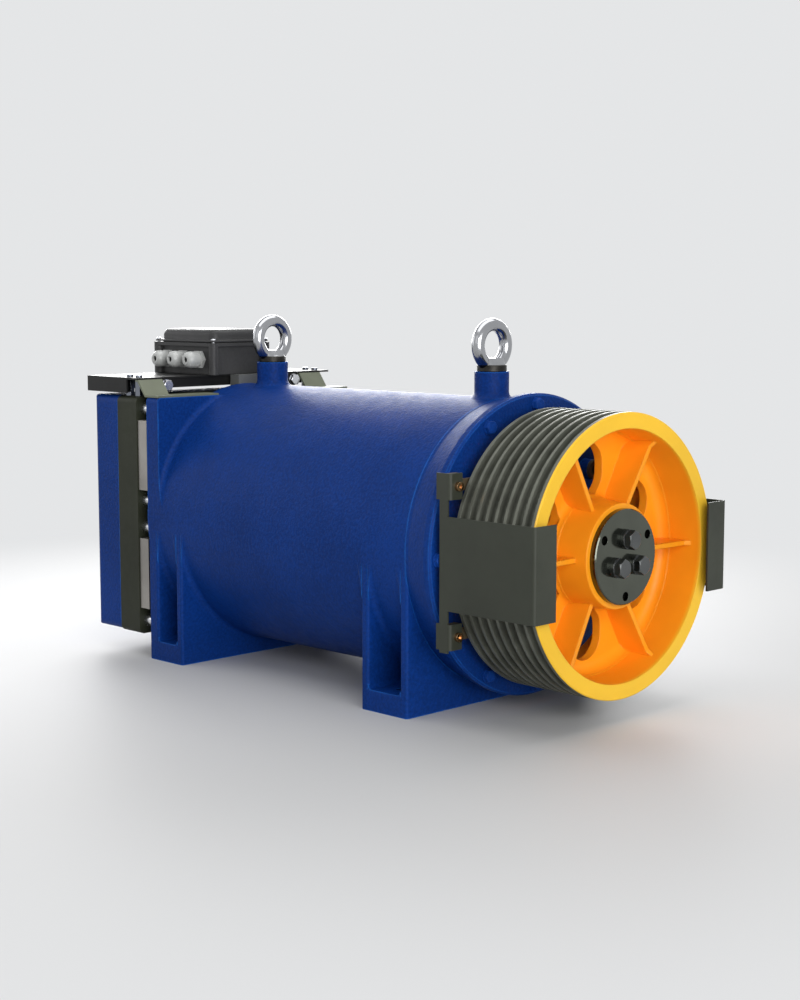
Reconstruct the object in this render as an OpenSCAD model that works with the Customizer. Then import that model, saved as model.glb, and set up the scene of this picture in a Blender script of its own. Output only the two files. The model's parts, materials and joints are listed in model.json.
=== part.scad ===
// Gearless elevator traction machine: a permanent magnet motor in a cast
// housing, an overhung rope sheave in front and a twin disc brake behind.
// The shaft lies along Y, the sheave faces -Y and the feet stand on z = 0.
// The origin is the centre of the four foot bolts, on the base plane.

/* [Feet and shaft] */
// Distance between the front and the rear foot bolts
foot_pitch_y = 500; // [480:5:560]
// Distance between the left and the right foot bolts
foot_pitch_x = 350; // [330:2:364]
// Diameter of the holes for the foot bolts
foot_hole_d = 18; // [14:1:20]
// Height of the shaft above the base plane
shaft_h = 230.5; // [226:0.5:236]
// Length of each front foot
front_foot_len = 92; // [84:1:110]
// Length of each rear foot
rear_foot_len = 84; // [82:1:92]
// Thickness of the slab between the webs of a foot
foot_slab_t = 31; // [16:1:36]
// Thickness of the cross webs of the feet
foot_web_t = 14; // [10:1:16]
// Thickness of the rearmost web, under the brake flange
rear_web_t = 23; // [21:1:26]
// Radius on the upright edges of the webs
foot_edge_r = 4; // [1:0.5:5]

/* [Housing] */
// Length of the housing from the shield joint to the brake flange
housing_len = 586; // [580:1:640]
// Distance from the front foot bolts forward to the shield joint
joint_setback = 40; // [38:1:60]
// Outer radius of the housing barrel
barrel_r = 209.8; // [208:0.2:216]
// Radius of the bore that holds the stator
barrel_bore_r = 192; // [188:1:195]
// Width of the square brake flange and of the feet
flange_w = 418; // [416:1:428]
// Height of the top of the brake flange
flange_top = 425; // [424:1:440]
// Thickness of the brake flange
flange_t = 30; // [28:1:40]
// Radius of the cast fillets
cast_fillet = 9; // [4:0.5:12]

/* [End shield] */
// Length of the end shield in front of the joint
shield_len = 56; // [50:1:70]
// Outer radius of the shield at its front face
shield_r = 219; // [216:0.5:226]
// Thickness of the shield's wall
shield_wall = 20; // [14:1:26]
// Number of bolts that hold the shield
shield_bolt_count = 12; // [6:1:16]
// How far inside the barrel's outer radius the shield bolts lie
shield_bolt_inset = 6.8; // [6.4:0.2:8]

/* [Lifting eyes] */
// Distance between the two lifting eyes
eye_pitch = 488; // [470:1:520]
// How far the pair of eyes lies in front of the middle of the feet
eye_shift = 16; // [0:1:30]
// Height of the top of the eye bosses
eye_boss_top = 478; // [466:1:500]
// Diameter of the eye bosses
eye_boss_d = 51; // [46:1:58]
// Inner diameter of the lifting ring
eye_hole_d = 40; // [34:1:44]
// Thickness of the lifting ring
eye_bar_d = 19.5; // [14:0.5:20]

/* [Traction sheave] */
// Outer radius of the sheave
sheave_r = 200; // [190:1:200]
// Width of the sheave
sheave_w = 140.5; // [138:0.5:150]
// Gap between the sheave and the shield's face
sheave_gap = 23.5; // [22:0.5:30]
// Inner radius of the rim
rim_inner_r = 177.5; // [170:0.5:180]
// Number of rope grooves
groove_count = 8; // [5:1:8]
// Distance from one groove to the next
groove_pitch = 16.3; // [14:0.1:16.5]
// Rope diameter that the grooves are cut for
rope_d = 10; // [8:0.5:11]
// Depth of a groove to the bottom of the rope seat
groove_depth = 11; // [9:0.5:12]
// Width of the undercut slot below the rope seat
undercut_w = 5; // [3:0.5:6]
// Number of ribs, with a window between each two
rib_count = 6; // [4:1:6]
// Thickness of the ribs
rib_t = 7; // [5:0.5:10]
// Depth of the rib fronts behind the rim face
rib_setback = 26; // [15:1:40]
// Depth of the web's front behind the rim face
web_setback = 70; // [60:1:80]
// Thickness of the web
web_t = 14; // [10:1:20]
// Radius of the hub at its front
hub_r = 74; // [69:1:78]
// Depth of the hub face behind the rim face
hub_setback = 9; // [4:1:16]
// Radius of the ring of windows
window_ring = 116.5; // [114:0.5:119]
// Radius of a window's round ends
window_r = 34; // [26:1:35]
// Extra radial length of a window
window_stretch = 10; // [6:1:14]

/* [Shaft end] */
// Radius of the shaft's end plate
end_plate_r = 67; // [60:1:68]
// Thickness of the end plate
end_plate_t = 10; // [8:1:14]
// Radius of the ring of end plate bolts
end_bolt_ring = 25; // [22:1:28]
// Radius of the ring of jacking holes
jack_ring = 55; // [52:1:57]
// Diameter of the jacking holes
jack_hole_d = 13; // [8:0.5:14]
// Radius of the shaft in the sheave
sheave_seat_r = 47; // [42:1:50]

/* [Rope guards] */
// Thickness of the guard sheet
guard_t = 3; // [2:0.5:4]
// Distance from the shaft to the guard's outer face
guard_x = 212; // [210:1:216]
// Height of the guard plate
guard_h = 129; // [110:1:140]
// How far the guard reaches in front of the sheave
guard_lead = 18; // [12:1:24]
// Width of the guard's front lip
guard_lip_w = 43; // [30:1:50]
// Height of the strip that carries the guard
guard_strip_h = 246; // [240:1:256]
// Length of the bracket arms
guard_arm_len = 114; // [108:1:120]

/* [Motor] */
// Length of the stator core
stator_len = 280; // [200:5:300]
// Inner radius of the stator core
stator_bore_r = 140; // [130:1:150]
// Air gap between the magnets and the stator
air_gap = 1; // [0.6:0.1:2]
// Thickness of the magnets
magnet_tile_t = 5.5; // [4:0.5:8]
// Number of magnet poles
pole_count = 20; // [12:2:24]

/* [Brake] */
// Height of the bottom of the magnet body
brake_bottom = 36; // [20:1:46]
// Gap between the brake flange and the magnet body
brake_gap = 27; // [26:0.5:34]
// Thickness of the magnet body
magnet_t = 51; // [48:1:60]
// Depth of the rear cover
cover_depth = 66; // [62:1:80]
// Wall of the rear cover
cover_wall = 3; // [2:0.5:4]
// Radius of the friction disc
brake_disc_r = 158; // [150:1:160]
// Thickness of the friction disc with its linings
brake_disc_t = 18.6; // [16:0.2:19]
// Travel of the armature plates
plate_travel = 0.5; // [0.3:0.1:0.6]

/* [Tray and terminal box] */
// Height of the tray's top above the brake flange
tray_rise = 30; // [26:1:40]
// Thickness of the tray sheet
tray_t = 3; // [2:0.5:4]
// Length of the tray along the shaft
tray_len = 137; // [130:1:150]
// Width of the terminal box body
box_w = 108; // [100:1:120]
// Length of the terminal box body
box_len = 144; // [142:1:150]
// Height of the terminal box base
box_base_h = 53; // [48:1:60]
// Height of the terminal box lid
box_lid_h = 21; // [16:1:28]
// Wall of the terminal box
box_wall = 4; // [3:0.5:5]
// Number of cable glands
gland_count = 3; // [1:1:3]
// Distance from one gland to the next
gland_pitch = 42; // [36:1:42]
// Width across the flats of a gland
gland_w = 28; // [20:1:30]

/* [Hidden] */

$fn = 96;

// Clearances
seat_gap = 0.1;
running_gap = 0.4;
fastener_gap = 0.5;
spigot_gap = 0.2;
over = 1;

// Places along the shaft
front_feet_y = -foot_pitch_y / 2;
rear_feet_y = foot_pitch_y / 2;
joint_y = front_feet_y - joint_setback;
housing_rear_y = joint_y + housing_len;
flange_front_y = housing_rear_y - flange_t;
shield_front_y = joint_y - shield_len;
sheave_rear_y = shield_front_y - sheave_gap;
sheave_front_y = sheave_rear_y - sheave_w;
web_front_y = sheave_front_y + web_setback;
web_rear_y = web_front_y + web_t;
hub_front_y = sheave_front_y + hub_setback;
plate_front_y = hub_front_y - end_plate_t;
magnet_front_y = housing_rear_y + brake_gap;
magnet_rear_y = magnet_front_y + magnet_t;
cover_rear_y = magnet_rear_y + cover_depth;

// Bearings: radius of the bore, outer radius and width of each
front_bearing_bore_r = 55;
front_bearing_out_r = 100;
front_bearing_w = 53;
rear_bearing_bore_r = 45;
rear_bearing_out_r = 80;
rear_bearing_w = 30;
cover_lip = 6;
front_bearing_y = shield_front_y + cover_lip;
front_bearing_end = front_bearing_y + front_bearing_w;
brake_pocket_depth = 16;
pocket_floor_y = housing_rear_y - brake_pocket_depth;
rear_shoulder_t = 8;
rear_bearing_end = pocket_floor_y - rear_shoulder_t;
rear_bearing_y = rear_bearing_end - rear_bearing_w;

// Solids of revolution about the shaft, drawn as (radius, y)
module about_shaft(angle = 360)
    translate([0, 0, shaft_h])
        rotate([-90, 0, 0])
            rotate_extrude(angle = angle)
                children();

// A straight cylinder along the shaft's direction
module bar_y(r, y0, y1, x = 0, z = shaft_h)
    translate([x, y0, z])
        rotate([-90, 0, 0])
            cylinder(r = r, h = y1 - y0);

// A ring on the shaft's axis
module ring_y(r_out, r_in, y0, y1)
    difference() {
        bar_y(r_out, y0, y1);
        bar_y(r_in, y0 - over, y1 + over);
    }

// A box given by its low and high corners
module block(low, high)
    translate(low)
        cube(high - low);

// A flat rectangle with round corners, centred on the origin
module round_rect(size, r) {
    square([size[0] - 2 * r, size[1]], center = true);
    square([size[0], size[1] - 2 * r], center = true);
    for (sx = [-1, 1], sy = [-1, 1])
        translate([sx * (size[0] / 2 - r), sy * (size[1] / 2 - r)])
            circle(r = r);
}

// A fillet in the corner at the origin, filling towards +x and +y
module corner_fillet(r)
    difference() {
        translate([-over, -over])
            square([r + over, r + over]);
        translate([r, r])
            circle(r = r);
    }

// An upright plate across the shaft with round corners
module plate_xz(x0, x1, z0, z1, r, y0, y1)
    translate([(x0 + x1) / 2, y1, (z0 + z1) / 2])
        rotate([90, 0, 0])
            linear_extrude(height = y1 - y0)
                round_rect([x1 - x0, z1 - z0], r);

// Copies on a ring around the shaft, turned to face outwards
module around_shaft(count, ring, first = 0)
    for (i = [0 : count - 1])
        translate([0, 0, shaft_h])
            rotate([0, -first - i * 360 / count, 0])
                translate([ring, 0, 0])
                    children();

// A hexagon bolt along Y: its head faces -Y and sits on y = 0
module hex_bolt(flats, head, shank_r, length, washer_r = 0, washer_t = 0) {
    rotate([90, 0, 0])
        translate([0, 0, washer_t])
            intersection() {
                cylinder(d = flats / cos(30), h = head, $fn = 6);
                cylinder(r1 = 0.47 * flats + head / tan(30), r2 = 0.47 * flats, h = head);
            }
    if (washer_t > 0)
        rotate([90, 0, 0])
            cylinder(r = washer_r, h = washer_t);
    rotate([-90, 0, 0])
        translate([0, 0, -over / 2])
            cylinder(r = shank_r, h = length + over / 2);
}

// A cap screw along Y: its head faces -Y and sits on y = 0
module cap_screw(head_r, head, socket_w, shank_r, length)
    difference() {
        union() {
            rotate([90, 0, 0])
                cylinder(r = head_r, h = head);
            rotate([-90, 0, 0])
                translate([0, 0, -head / 2])
                    cylinder(r = shank_r, h = length + head / 2);
        }
        rotate([90, 0, 0])
            translate([0, 0, head / 2])
                cylinder(d = socket_w / cos(30), h = head, $fn = 6);
    }

/* ---- Housing ---- */
eye_ys = [-eye_shift - eye_pitch / 2, -eye_shift + eye_pitch / 2];
rear_hub_r = rear_bearing_out_r + 16;
rear_hub_len = 36;
rear_wall_t = 14;
brake_pocket_r = brake_disc_r + 5;
shaft_exit_r = 62;
shield_bolt_ring = barrel_r - shield_bolt_inset;
shield_thread_r = 5;
shield_thread_depth = 26;
eye_thread_r = 10;
eye_thread_depth = 30;
shield_recess_r = barrel_r + fastener_gap;
foot_lead = 3;
foot_pad_w = 95;
pocket_fillet = 6;
front_foot_y = joint_y - foot_lead;
rear_foot_y = housing_rear_y - rear_foot_len;
eye_fillet = 12;

// One cross web of the feet, as wide as the brake flange
module cross_web(y0, y1)
    translate([0, (y0 + y1) / 2, 0])
        linear_extrude(height = shaft_h)
            round_rect([flange_w, y1 - y0], foot_edge_r);

// The slab between two webs, on both sides, with cast corners in the pocket
module foot_slabs(y0, y1)
    for (side = [0, 1])
        mirror([side, 0, 0])
            translate([flange_w / 2 - foot_pad_w, y0, 0])
                rotate([90, 0, 90])
                    linear_extrude(height = foot_pad_w) {
                        translate([-foot_edge_r - over, 0])
                            square([y1 - y0 + 2 * foot_edge_r + 2 * over, foot_slab_t]);
                        translate([0, foot_slab_t])
                            corner_fillet(pocket_fillet);
                        translate([y1 - y0, foot_slab_t])
                            mirror([1, 0])
                                corner_fillet(pocket_fillet);
                    }

// The cast fillet between the barrel and an upright face at y; s is the
// side of the face that it lies on
module barrel_fillet(y, s, z0, z1)
    intersection() {
        translate([0, y, 0])
            mirror([0, (1 - s) / 2, 0])
                about_shaft()
                    translate([barrel_r, 0])
                        corner_fillet(cast_fillet);
        block([-flange_w / 2, y - cast_fillet - over, z0],
              [flange_w / 2, y + cast_fillet + over, z1]);
    }

module feet() {
    front_end = front_foot_y + front_foot_len;
    cross_web(front_foot_y, front_foot_y + foot_web_t);
    cross_web(front_end - foot_web_t, front_end);
    foot_slabs(front_foot_y + foot_web_t, front_end - foot_web_t);
    cross_web(rear_foot_y, rear_foot_y + foot_web_t);
    cross_web(housing_rear_y - rear_web_t, housing_rear_y);
    foot_slabs(rear_foot_y + foot_web_t, housing_rear_y - rear_web_t);
    for (y = [front_foot_y + foot_web_t, front_end, rear_foot_y + foot_web_t])
        barrel_fillet(y, 1, 0, shaft_h);
    for (y = [front_end - foot_web_t, rear_foot_y, housing_rear_y - rear_web_t])
        barrel_fillet(y, -1, 0, shaft_h);
}

module eye_boss(y) {
    foot_z = sqrt(barrel_r * barrel_r - pow(eye_boss_d / 2 + eye_fillet, 2));
    translate([0, y, shaft_h]) {
        translate([0, 0, barrel_bore_r + 4])
            cylinder(d = eye_boss_d, h = eye_boss_top - shaft_h - barrel_bore_r - 4);
        rotate_extrude()
            translate([eye_boss_d / 2, foot_z])
                corner_fillet(eye_fillet);
    }
}

module housing_outside() {
    bar_y(barrel_r, joint_y, housing_rear_y);
    plate_xz(-flange_w / 2, flange_w / 2, shaft_h, flange_top, 7,
             flange_front_y, housing_rear_y);
    barrel_fillet(flange_front_y, -1, shaft_h, flange_top);
    feet();
    for (y = eye_ys)
        eye_boss(y);
}

module housing()
    color([0.06, 0.16, 0.55])
        difference() {
            union() {
                difference() {
                    housing_outside();
                    bar_y(barrel_bore_r, joint_y - over, flange_front_y - rear_wall_t);
                    bar_y(shield_recess_r, joint_y - shield_len, joint_y);
                }
                ring_y(rear_hub_r, rear_bearing_out_r, rear_bearing_end - rear_hub_len,
                       flange_front_y);
            }
            bar_y(rear_bearing_out_r, joint_y, rear_bearing_end);
            bar_y(shaft_exit_r, joint_y, housing_rear_y + over);
            bar_y(brake_pocket_r, pocket_floor_y, housing_rear_y + over);
            for (y = eye_ys)
                translate([0, y, eye_boss_top - eye_thread_depth])
                    cylinder(r = eye_thread_r, h = eye_thread_depth + over);
            around_shaft(shield_bolt_count, shield_bolt_ring)
                bar_y(shield_thread_r, joint_y - over, joint_y + shield_thread_depth, z = 0);
            for (x = [-foot_pitch_x / 2, foot_pitch_x / 2], y = [front_feet_y, rear_feet_y])
                translate([x, y, -over])
                    cylinder(d = foot_hole_d, h = foot_slab_t + 2 * over);
            for (p = spacer_spots)
                bar_y(brake_bolt_r, housing_rear_y - brake_thread_depth,
                      housing_rear_y + over, x = p[0], z = p[1]);
            lead_holes();
        }

// The hole that takes the motor leads out over the brake
lead_x = 20;
lead_hole_r = 9;
lead_z = shaft_h + (brake_pocket_r + barrel_bore_r) / 2;
duct_screw_r = 2.5;
duct_screw_depth = 12;
duct_spots = [[lead_x - 27, lead_z + 6], [lead_x + 27, lead_z + 6]];
module lead_holes() {
    bar_y(lead_hole_r, flange_front_y - 2 * rear_wall_t, housing_rear_y + over,
          x = lead_x, z = lead_z);
    for (p = duct_spots)
        bar_y(duct_screw_r, housing_rear_y - duct_screw_depth, housing_rear_y + over,
              x = p[0], z = p[1]);
}

/* ---- End shield ---- */
shield_spigot = 8;
arm_boss_r = 15;
arm_boss_x = 112;
arm_z = 103;
arm_thread_r = 5;
arm_front_y = sheave_rear_y + 2.5;
arm_t = 6;
cover_r = 124;
cover_bolt_ring = 112;
cover_bolt_count = 6;
cover_thread_r = 4;
cover_thread_depth = 20;
shield_hub_r = cover_r + 2;
shield_rim_t = 24;

module front_end_shield()
    color([0.06, 0.16, 0.55])
        difference() {
            union() {
                about_shaft()
                    polygon([
                        [front_bearing_out_r, shield_front_y],
                        [shield_r - 3, shield_front_y],
                        [shield_r, shield_front_y + 3],
                        [shield_r, shield_front_y + 12],
                        [barrel_r, joint_y - 6],
                        [barrel_r, joint_y],
                        [barrel_bore_r - spigot_gap, joint_y],
                        [barrel_bore_r - spigot_gap, joint_y + shield_spigot],
                        [barrel_bore_r - spigot_gap - 10, joint_y + shield_spigot],
                        [barrel_bore_r - shield_rim_t, shield_front_y + shield_wall + 14],
                        [barrel_bore_r - shield_rim_t - 14, shield_front_y + shield_wall],
                        [shield_hub_r + 12, shield_front_y + shield_wall],
                        [shield_hub_r, shield_front_y + shield_wall + 12],
                        [shield_hub_r, front_bearing_end + 3],
                        [front_bearing_out_r, front_bearing_end + 3]
                    ]);
                ring_y(front_bearing_out_r + 2, front_bearing_out_r - 7, front_bearing_end,
                       front_bearing_end + 3);
                for (x = [-arm_boss_x, arm_boss_x], z = [-arm_z, arm_z])
                    bar_y(arm_boss_r, arm_front_y + arm_t, shield_front_y + 5,
                          x = x, z = shaft_h + z);
            }
            around_shaft(shield_bolt_count, shield_bolt_ring)
                bar_y(shield_thread_r + fastener_gap, shield_front_y - over, joint_y + over, z = 0);
            around_shaft(cover_bolt_count, cover_bolt_ring, 30)
                bar_y(cover_thread_r, shield_front_y - over,
                      shield_front_y + cover_thread_depth, z = 0);
            for (x = [-arm_boss_x, arm_boss_x], z = [-arm_z, arm_z])
                bar_y(arm_thread_r, arm_front_y, shield_front_y + 12, x = x, z = shaft_h + z);
        }

shield_head_flats = 17;
shield_head_h = 6.4;
module shield_bolts()
    color([0.08, 0.2, 0.6])
        around_shaft(shield_bolt_count, shield_bolt_ring)
            translate([0, shield_front_y - seat_gap, 0])
                hex_bolt(shield_head_flats, shield_head_h, shield_thread_r - seat_gap,
                         shield_len + shield_thread_depth - 4, 10.5, 2);

/* ---- Lifting eyes ---- */
eye_collar_d = 44;
eye_collar_h = 8;
ring_mid_r = (eye_hole_d + eye_bar_d) / 2;
ring_mid_z = eye_boss_top + eye_hole_d / 2 + eye_bar_d - 1.5;

module eyebolt()
    difference() {
        union() {
            intersection() {
                translate([0, 0, ring_mid_z])
                    rotate([90, 0, 0])
                        rotate_extrude()
                            translate([ring_mid_r, 0])
                                circle(d = eye_bar_d);
                translate([-eye_collar_d, -eye_collar_d, eye_boss_top + seat_gap])
                    cube(2 * eye_collar_d);
            }
            translate([0, 0, eye_boss_top + seat_gap]) {
                cylinder(d = eye_collar_d, h = eye_collar_h);
                cylinder(d1 = eye_collar_d - 4, d2 = eye_collar_d - 16,
                         h = ring_mid_z - eye_boss_top - eye_hole_d / 2 - 1);
            }
            translate([0, 0, eye_boss_top - eye_thread_depth + 4])
                cylinder(r = eye_thread_r - seat_gap, h = eye_thread_depth);
        }
        translate([0, eye_collar_d, ring_mid_z])
            rotate([90, 0, 0])
                cylinder(d = eye_hole_d - 0.5, h = 2 * eye_collar_d);
    }

module eyebolts()
    color([0.82, 0.83, 0.85])
        for (y = eye_ys)
            translate([0, y, 0])
                eyebolt();

/* ---- Motor ---- */
rotor_r = stator_bore_r - air_gap - magnet_tile_t;
stator_setback = 90;
stator_y = joint_y + stator_setback;
stator_end = stator_y + stator_len;
winding_len = 44;
winding_margin = 6;
rotor_ring_t = 26;
rotor_web_t = 24;
rotor_hub_len = 150;
rotor_seat_r = 60;
rotor_mid_y = stator_y + stator_len / 2;

module stator_core()
    color([0.35, 0.36, 0.38])
        ring_y(barrel_bore_r - seat_gap, stator_bore_r, stator_y, stator_end);

module winding_end(y0, y1)
    ring_y(barrel_bore_r - winding_margin, stator_bore_r + winding_margin, y0, y1);

module stator_windings()
    color([0.72, 0.36, 0.16]) {
        winding_end(stator_y - winding_len, stator_y);
        winding_end(stator_end, stator_end + winding_len);
    }

module rotor_core()
    color([0.4, 0.4, 0.43])
        about_shaft() {
            translate([rotor_r - rotor_ring_t, stator_y])
                square([rotor_ring_t, stator_len]);
            translate([rotor_seat_r + seat_gap, rotor_mid_y - rotor_web_t / 2])
                square([rotor_r - rotor_seat_r - rotor_ring_t, rotor_web_t]);
            translate([rotor_seat_r + seat_gap, rotor_mid_y - rotor_hub_len / 2])
                square([18, rotor_hub_len]);
        }

module rotor_magnets()
    color([0.55, 0.56, 0.6])
        difference() {
            ring_y(rotor_r + magnet_tile_t, rotor_r + seat_gap, stator_y + 4, stator_end - 4);
            around_shaft(pole_count, rotor_r, 180 / pole_count)
                block([-4, stator_y - over, -2.5], [magnet_tile_t + 4, stator_end + over, 2.5]);
        }

/* ---- Bearings ---- */
roller_r = 9.2;
roller_len = 40;
roller_count = 18;
roller_ring = (front_bearing_bore_r + front_bearing_out_r) / 2;
race_gap = 0.35;
ball_r = 9.5;
ball_count = 12;
ball_ring = (rear_bearing_bore_r + rear_bearing_out_r) / 2;
rear_bearing_mid = rear_bearing_y + rear_bearing_w / 2;
cage_t = 4;

module front_bearing_outer_ring()
    color([0.7, 0.71, 0.73])
        ring_y(front_bearing_out_r - seat_gap, roller_ring + roller_r + race_gap,
               front_bearing_y + seat_gap, front_bearing_end - seat_gap);

module front_bearing_inner_ring()
    color([0.7, 0.71, 0.73])
        ring_y(roller_ring - roller_r - race_gap, front_bearing_bore_r + seat_gap,
               front_bearing_y + seat_gap, front_bearing_end - seat_gap);

module front_bearing_rollers()
    color([0.78, 0.79, 0.8]) {
        mid = front_bearing_y + front_bearing_w / 2;
        around_shaft(roller_count, roller_ring)
            bar_y(roller_r, mid - roller_len / 2, mid + roller_len / 2, z = 0);
        for (s = [-1, 1])
            ring_y(roller_ring + cage_t, roller_ring - cage_t,
                   mid + s * (roller_len / 2 + 1) - 2, mid + s * (roller_len / 2 + 1) + 2);
    }

module race_groove()
    about_shaft()
        translate([ball_ring, rear_bearing_mid])
            circle(r = ball_r + race_gap);

module rear_bearing_outer_ring()
    color([0.7, 0.71, 0.73])
        difference() {
            ring_y(rear_bearing_out_r - seat_gap, ball_ring + 6, rear_bearing_y,
                   rear_bearing_end - seat_gap);
            race_groove();
        }

module rear_bearing_inner_ring()
    color([0.7, 0.71, 0.73])
        difference() {
            ring_y(ball_ring - 6, rear_bearing_bore_r + seat_gap, rear_bearing_y,
                   rear_bearing_end - seat_gap);
            race_groove();
        }

module rear_bearing_balls()
    color([0.78, 0.79, 0.8]) {
        around_shaft(ball_count, ball_ring)
            translate([0, rear_bearing_mid, 0])
                sphere(r = ball_r);
        ring_y(ball_ring + 2, ball_ring - 2, rear_bearing_mid - 3, rear_bearing_mid + 3);
    }

locknut_r = 57;
locknut_t = 7;
module bearing_locknut()
    color([0.45, 0.46, 0.48])
        difference() {
            ring_y(locknut_r, rear_bearing_bore_r + seat_gap, rear_bearing_end,
                   rear_bearing_end + locknut_t);
            around_shaft(4, locknut_r)
                block([-5, rear_bearing_end - over, -4],
                      [over, rear_bearing_end + locknut_t + over, 4]);
        }

cover_t = 10;
seal_r = 66;
seal_shaft_r = 52;
cover_front_y = shield_front_y - cover_t;
module front_bearing_cover()
    color([0.08, 0.18, 0.5])
        difference() {
            about_shaft()
                polygon([
                    [seal_r, cover_front_y + 2],
                    [seal_r + 2, cover_front_y],
                    [cover_r - 3, cover_front_y],
                    [cover_r, cover_front_y + 3],
                    [cover_r, shield_front_y - seat_gap],
                    [front_bearing_out_r - spigot_gap, shield_front_y - seat_gap],
                    [front_bearing_out_r - spigot_gap, front_bearing_y],
                    [front_bearing_out_r - 9, front_bearing_y],
                    [front_bearing_out_r - 9, shield_front_y - 2],
                    [seal_r, shield_front_y - 2]
                ]);
            around_shaft(cover_bolt_count, cover_bolt_ring, 30)
                bar_y(cover_thread_r + fastener_gap, cover_front_y - over, shield_front_y + over,
                      z = 0);
        }

cover_head_h = 5;
module bearing_cover_bolts()
    color([0.3, 0.31, 0.33])
        around_shaft(cover_bolt_count, cover_bolt_ring, 30)
            translate([0, cover_front_y, 0])
                cap_screw(7, cover_head_h, 6, cover_thread_r - seat_gap,
                          cover_t + cover_thread_depth - 3);

module shaft_seal()
    color([0.06, 0.06, 0.06])
        ring_y(seal_r - seat_gap, seal_shaft_r + running_gap, cover_front_y + 0.5,
               shield_front_y - 2);

/* ---- Shaft ---- */
shaft_front_y = hub_front_y + 3;
shaft_shoulder_r = 66;
shaft_rear_seat_r = 50;
brake_seat_r = 35;
tail_r = 20;
encoder_shaft_r = 12;
end_bolt_r = 8;
end_bolt_depth = 45;
key_w = 25;
key_h = 14;
key_y0 = sheave_front_y + 40;
key_y1 = sheave_rear_y - 6;
key_sink = 9;
hub_rear_y = sheave_rear_y + 7;
brake_hub_y0 = pocket_floor_y + 3;
brake_hub_y1 = pocket_floor_y + running_gap + brake_disc_t - 1;
encoder_y = magnet_rear_y + seat_gap;
encoder_len = 44;

module shaft()
    color([0.62, 0.63, 0.65])
        difference() {
            about_shaft()
                polygon([
                    [0, shaft_front_y],
                    [sheave_seat_r - 2, shaft_front_y],
                    [sheave_seat_r, shaft_front_y + 2],
                    [sheave_seat_r, hub_rear_y],
                    [seal_shaft_r, hub_rear_y],
                    [seal_shaft_r, front_bearing_y],
                    [front_bearing_bore_r, front_bearing_y],
                    [front_bearing_bore_r, front_bearing_end],
                    [shaft_shoulder_r, front_bearing_end],
                    [shaft_shoulder_r, front_bearing_end + 16],
                    [rotor_seat_r, front_bearing_end + 16],
                    [rotor_seat_r, rotor_mid_y + rotor_hub_len / 2 + 10],
                    [shaft_rear_seat_r, rotor_mid_y + rotor_hub_len / 2 + 10],
                    [shaft_rear_seat_r, rear_bearing_y],
                    [rear_bearing_bore_r, rear_bearing_y],
                    [rear_bearing_bore_r, pocket_floor_y],
                    [brake_seat_r, pocket_floor_y],
                    [brake_seat_r, brake_hub_y1],
                    [tail_r, brake_hub_y1],
                    [tail_r, encoder_y - 6],
                    [encoder_shaft_r, encoder_y - 6],
                    [encoder_shaft_r, encoder_y + encoder_len - 12],
                    [0, encoder_y + encoder_len - 12]
                ]);
            around_shaft(3, end_bolt_ring, 90)
                bar_y(end_bolt_r, shaft_front_y - over, shaft_front_y + end_bolt_depth, z = 0);
            block([-key_w / 2, key_y0, shaft_h + sheave_seat_r - key_sink],
                  [key_w / 2, key_y1, shaft_h + sheave_seat_r + over]);
        }

module sheave_key()
    color([0.6, 0.6, 0.62])
        block([-key_w / 2 + seat_gap, key_y0 + seat_gap,
               shaft_h + sheave_seat_r - key_sink + seat_gap],
              [key_w / 2 - seat_gap, key_y1 - seat_gap,
               shaft_h + sheave_seat_r - key_sink + key_h]);

/* ---- Traction sheave ---- */
seat_r = rope_d / 2 + 0.2;
rim_draft = 4;
rim_fillet = 16;
hub_draft = 5;
hub_fillet = 12;
hub_rear_r = 72;
rim_chamfer = 1.5;

// One rope groove in section: a flared mouth, a round seat and an undercut
module groove_section() {
    centre_r = sheave_r - groove_depth + seat_r;
    translate([centre_r, 0])
        circle(r = seat_r);
    polygon([
        [centre_r - 0.6, -seat_r + 0.1],
        [sheave_r + over, -seat_r - 0.9],
        [sheave_r + over, seat_r + 0.9],
        [centre_r - 0.6, seat_r - 0.1]
    ]);
    translate([centre_r - seat_r - 3.5, -undercut_w / 2])
        square([seat_r, undercut_w]);
}

module sheave_section()
    difference() {
        union() {
            polygon([
                [rim_inner_r, sheave_front_y],
                [sheave_r - rim_chamfer, sheave_front_y],
                [sheave_r, sheave_front_y + rim_chamfer],
                [sheave_r, sheave_rear_y - rim_chamfer],
                [sheave_r - rim_chamfer, sheave_rear_y],
                [rim_inner_r - 2, sheave_rear_y],
                [rim_inner_r - rim_draft, web_rear_y],
                [rim_inner_r - rim_draft, web_front_y]
            ]);
            translate([hub_r - 10, web_front_y])
                square([rim_inner_r - hub_r + 12, web_t]);
            polygon([
                [sheave_seat_r + seat_gap, hub_front_y],
                [hub_r - 1, hub_front_y],
                [hub_r, hub_front_y + 1],
                [hub_r + hub_draft, web_front_y],
                [hub_r + hub_draft, web_rear_y],
                [hub_rear_r, hub_rear_y],
                [sheave_seat_r + seat_gap, hub_rear_y]
            ]);
            translate([rim_inner_r - rim_draft, web_front_y])
                mirror([1, 1])
                    corner_fillet(rim_fillet);
            translate([hub_r + hub_draft, web_front_y])
                mirror([0, 1])
                    corner_fillet(hub_fillet);
            translate([rim_inner_r - rim_draft, web_rear_y])
                mirror([1, 0])
                    corner_fillet(hub_fillet);
        }
        for (i = [0 : groove_count - 1])
            translate([0, (sheave_front_y + sheave_rear_y) / 2
                       + (i - (groove_count - 1) / 2) * groove_pitch])
                groove_section();
    }

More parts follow.
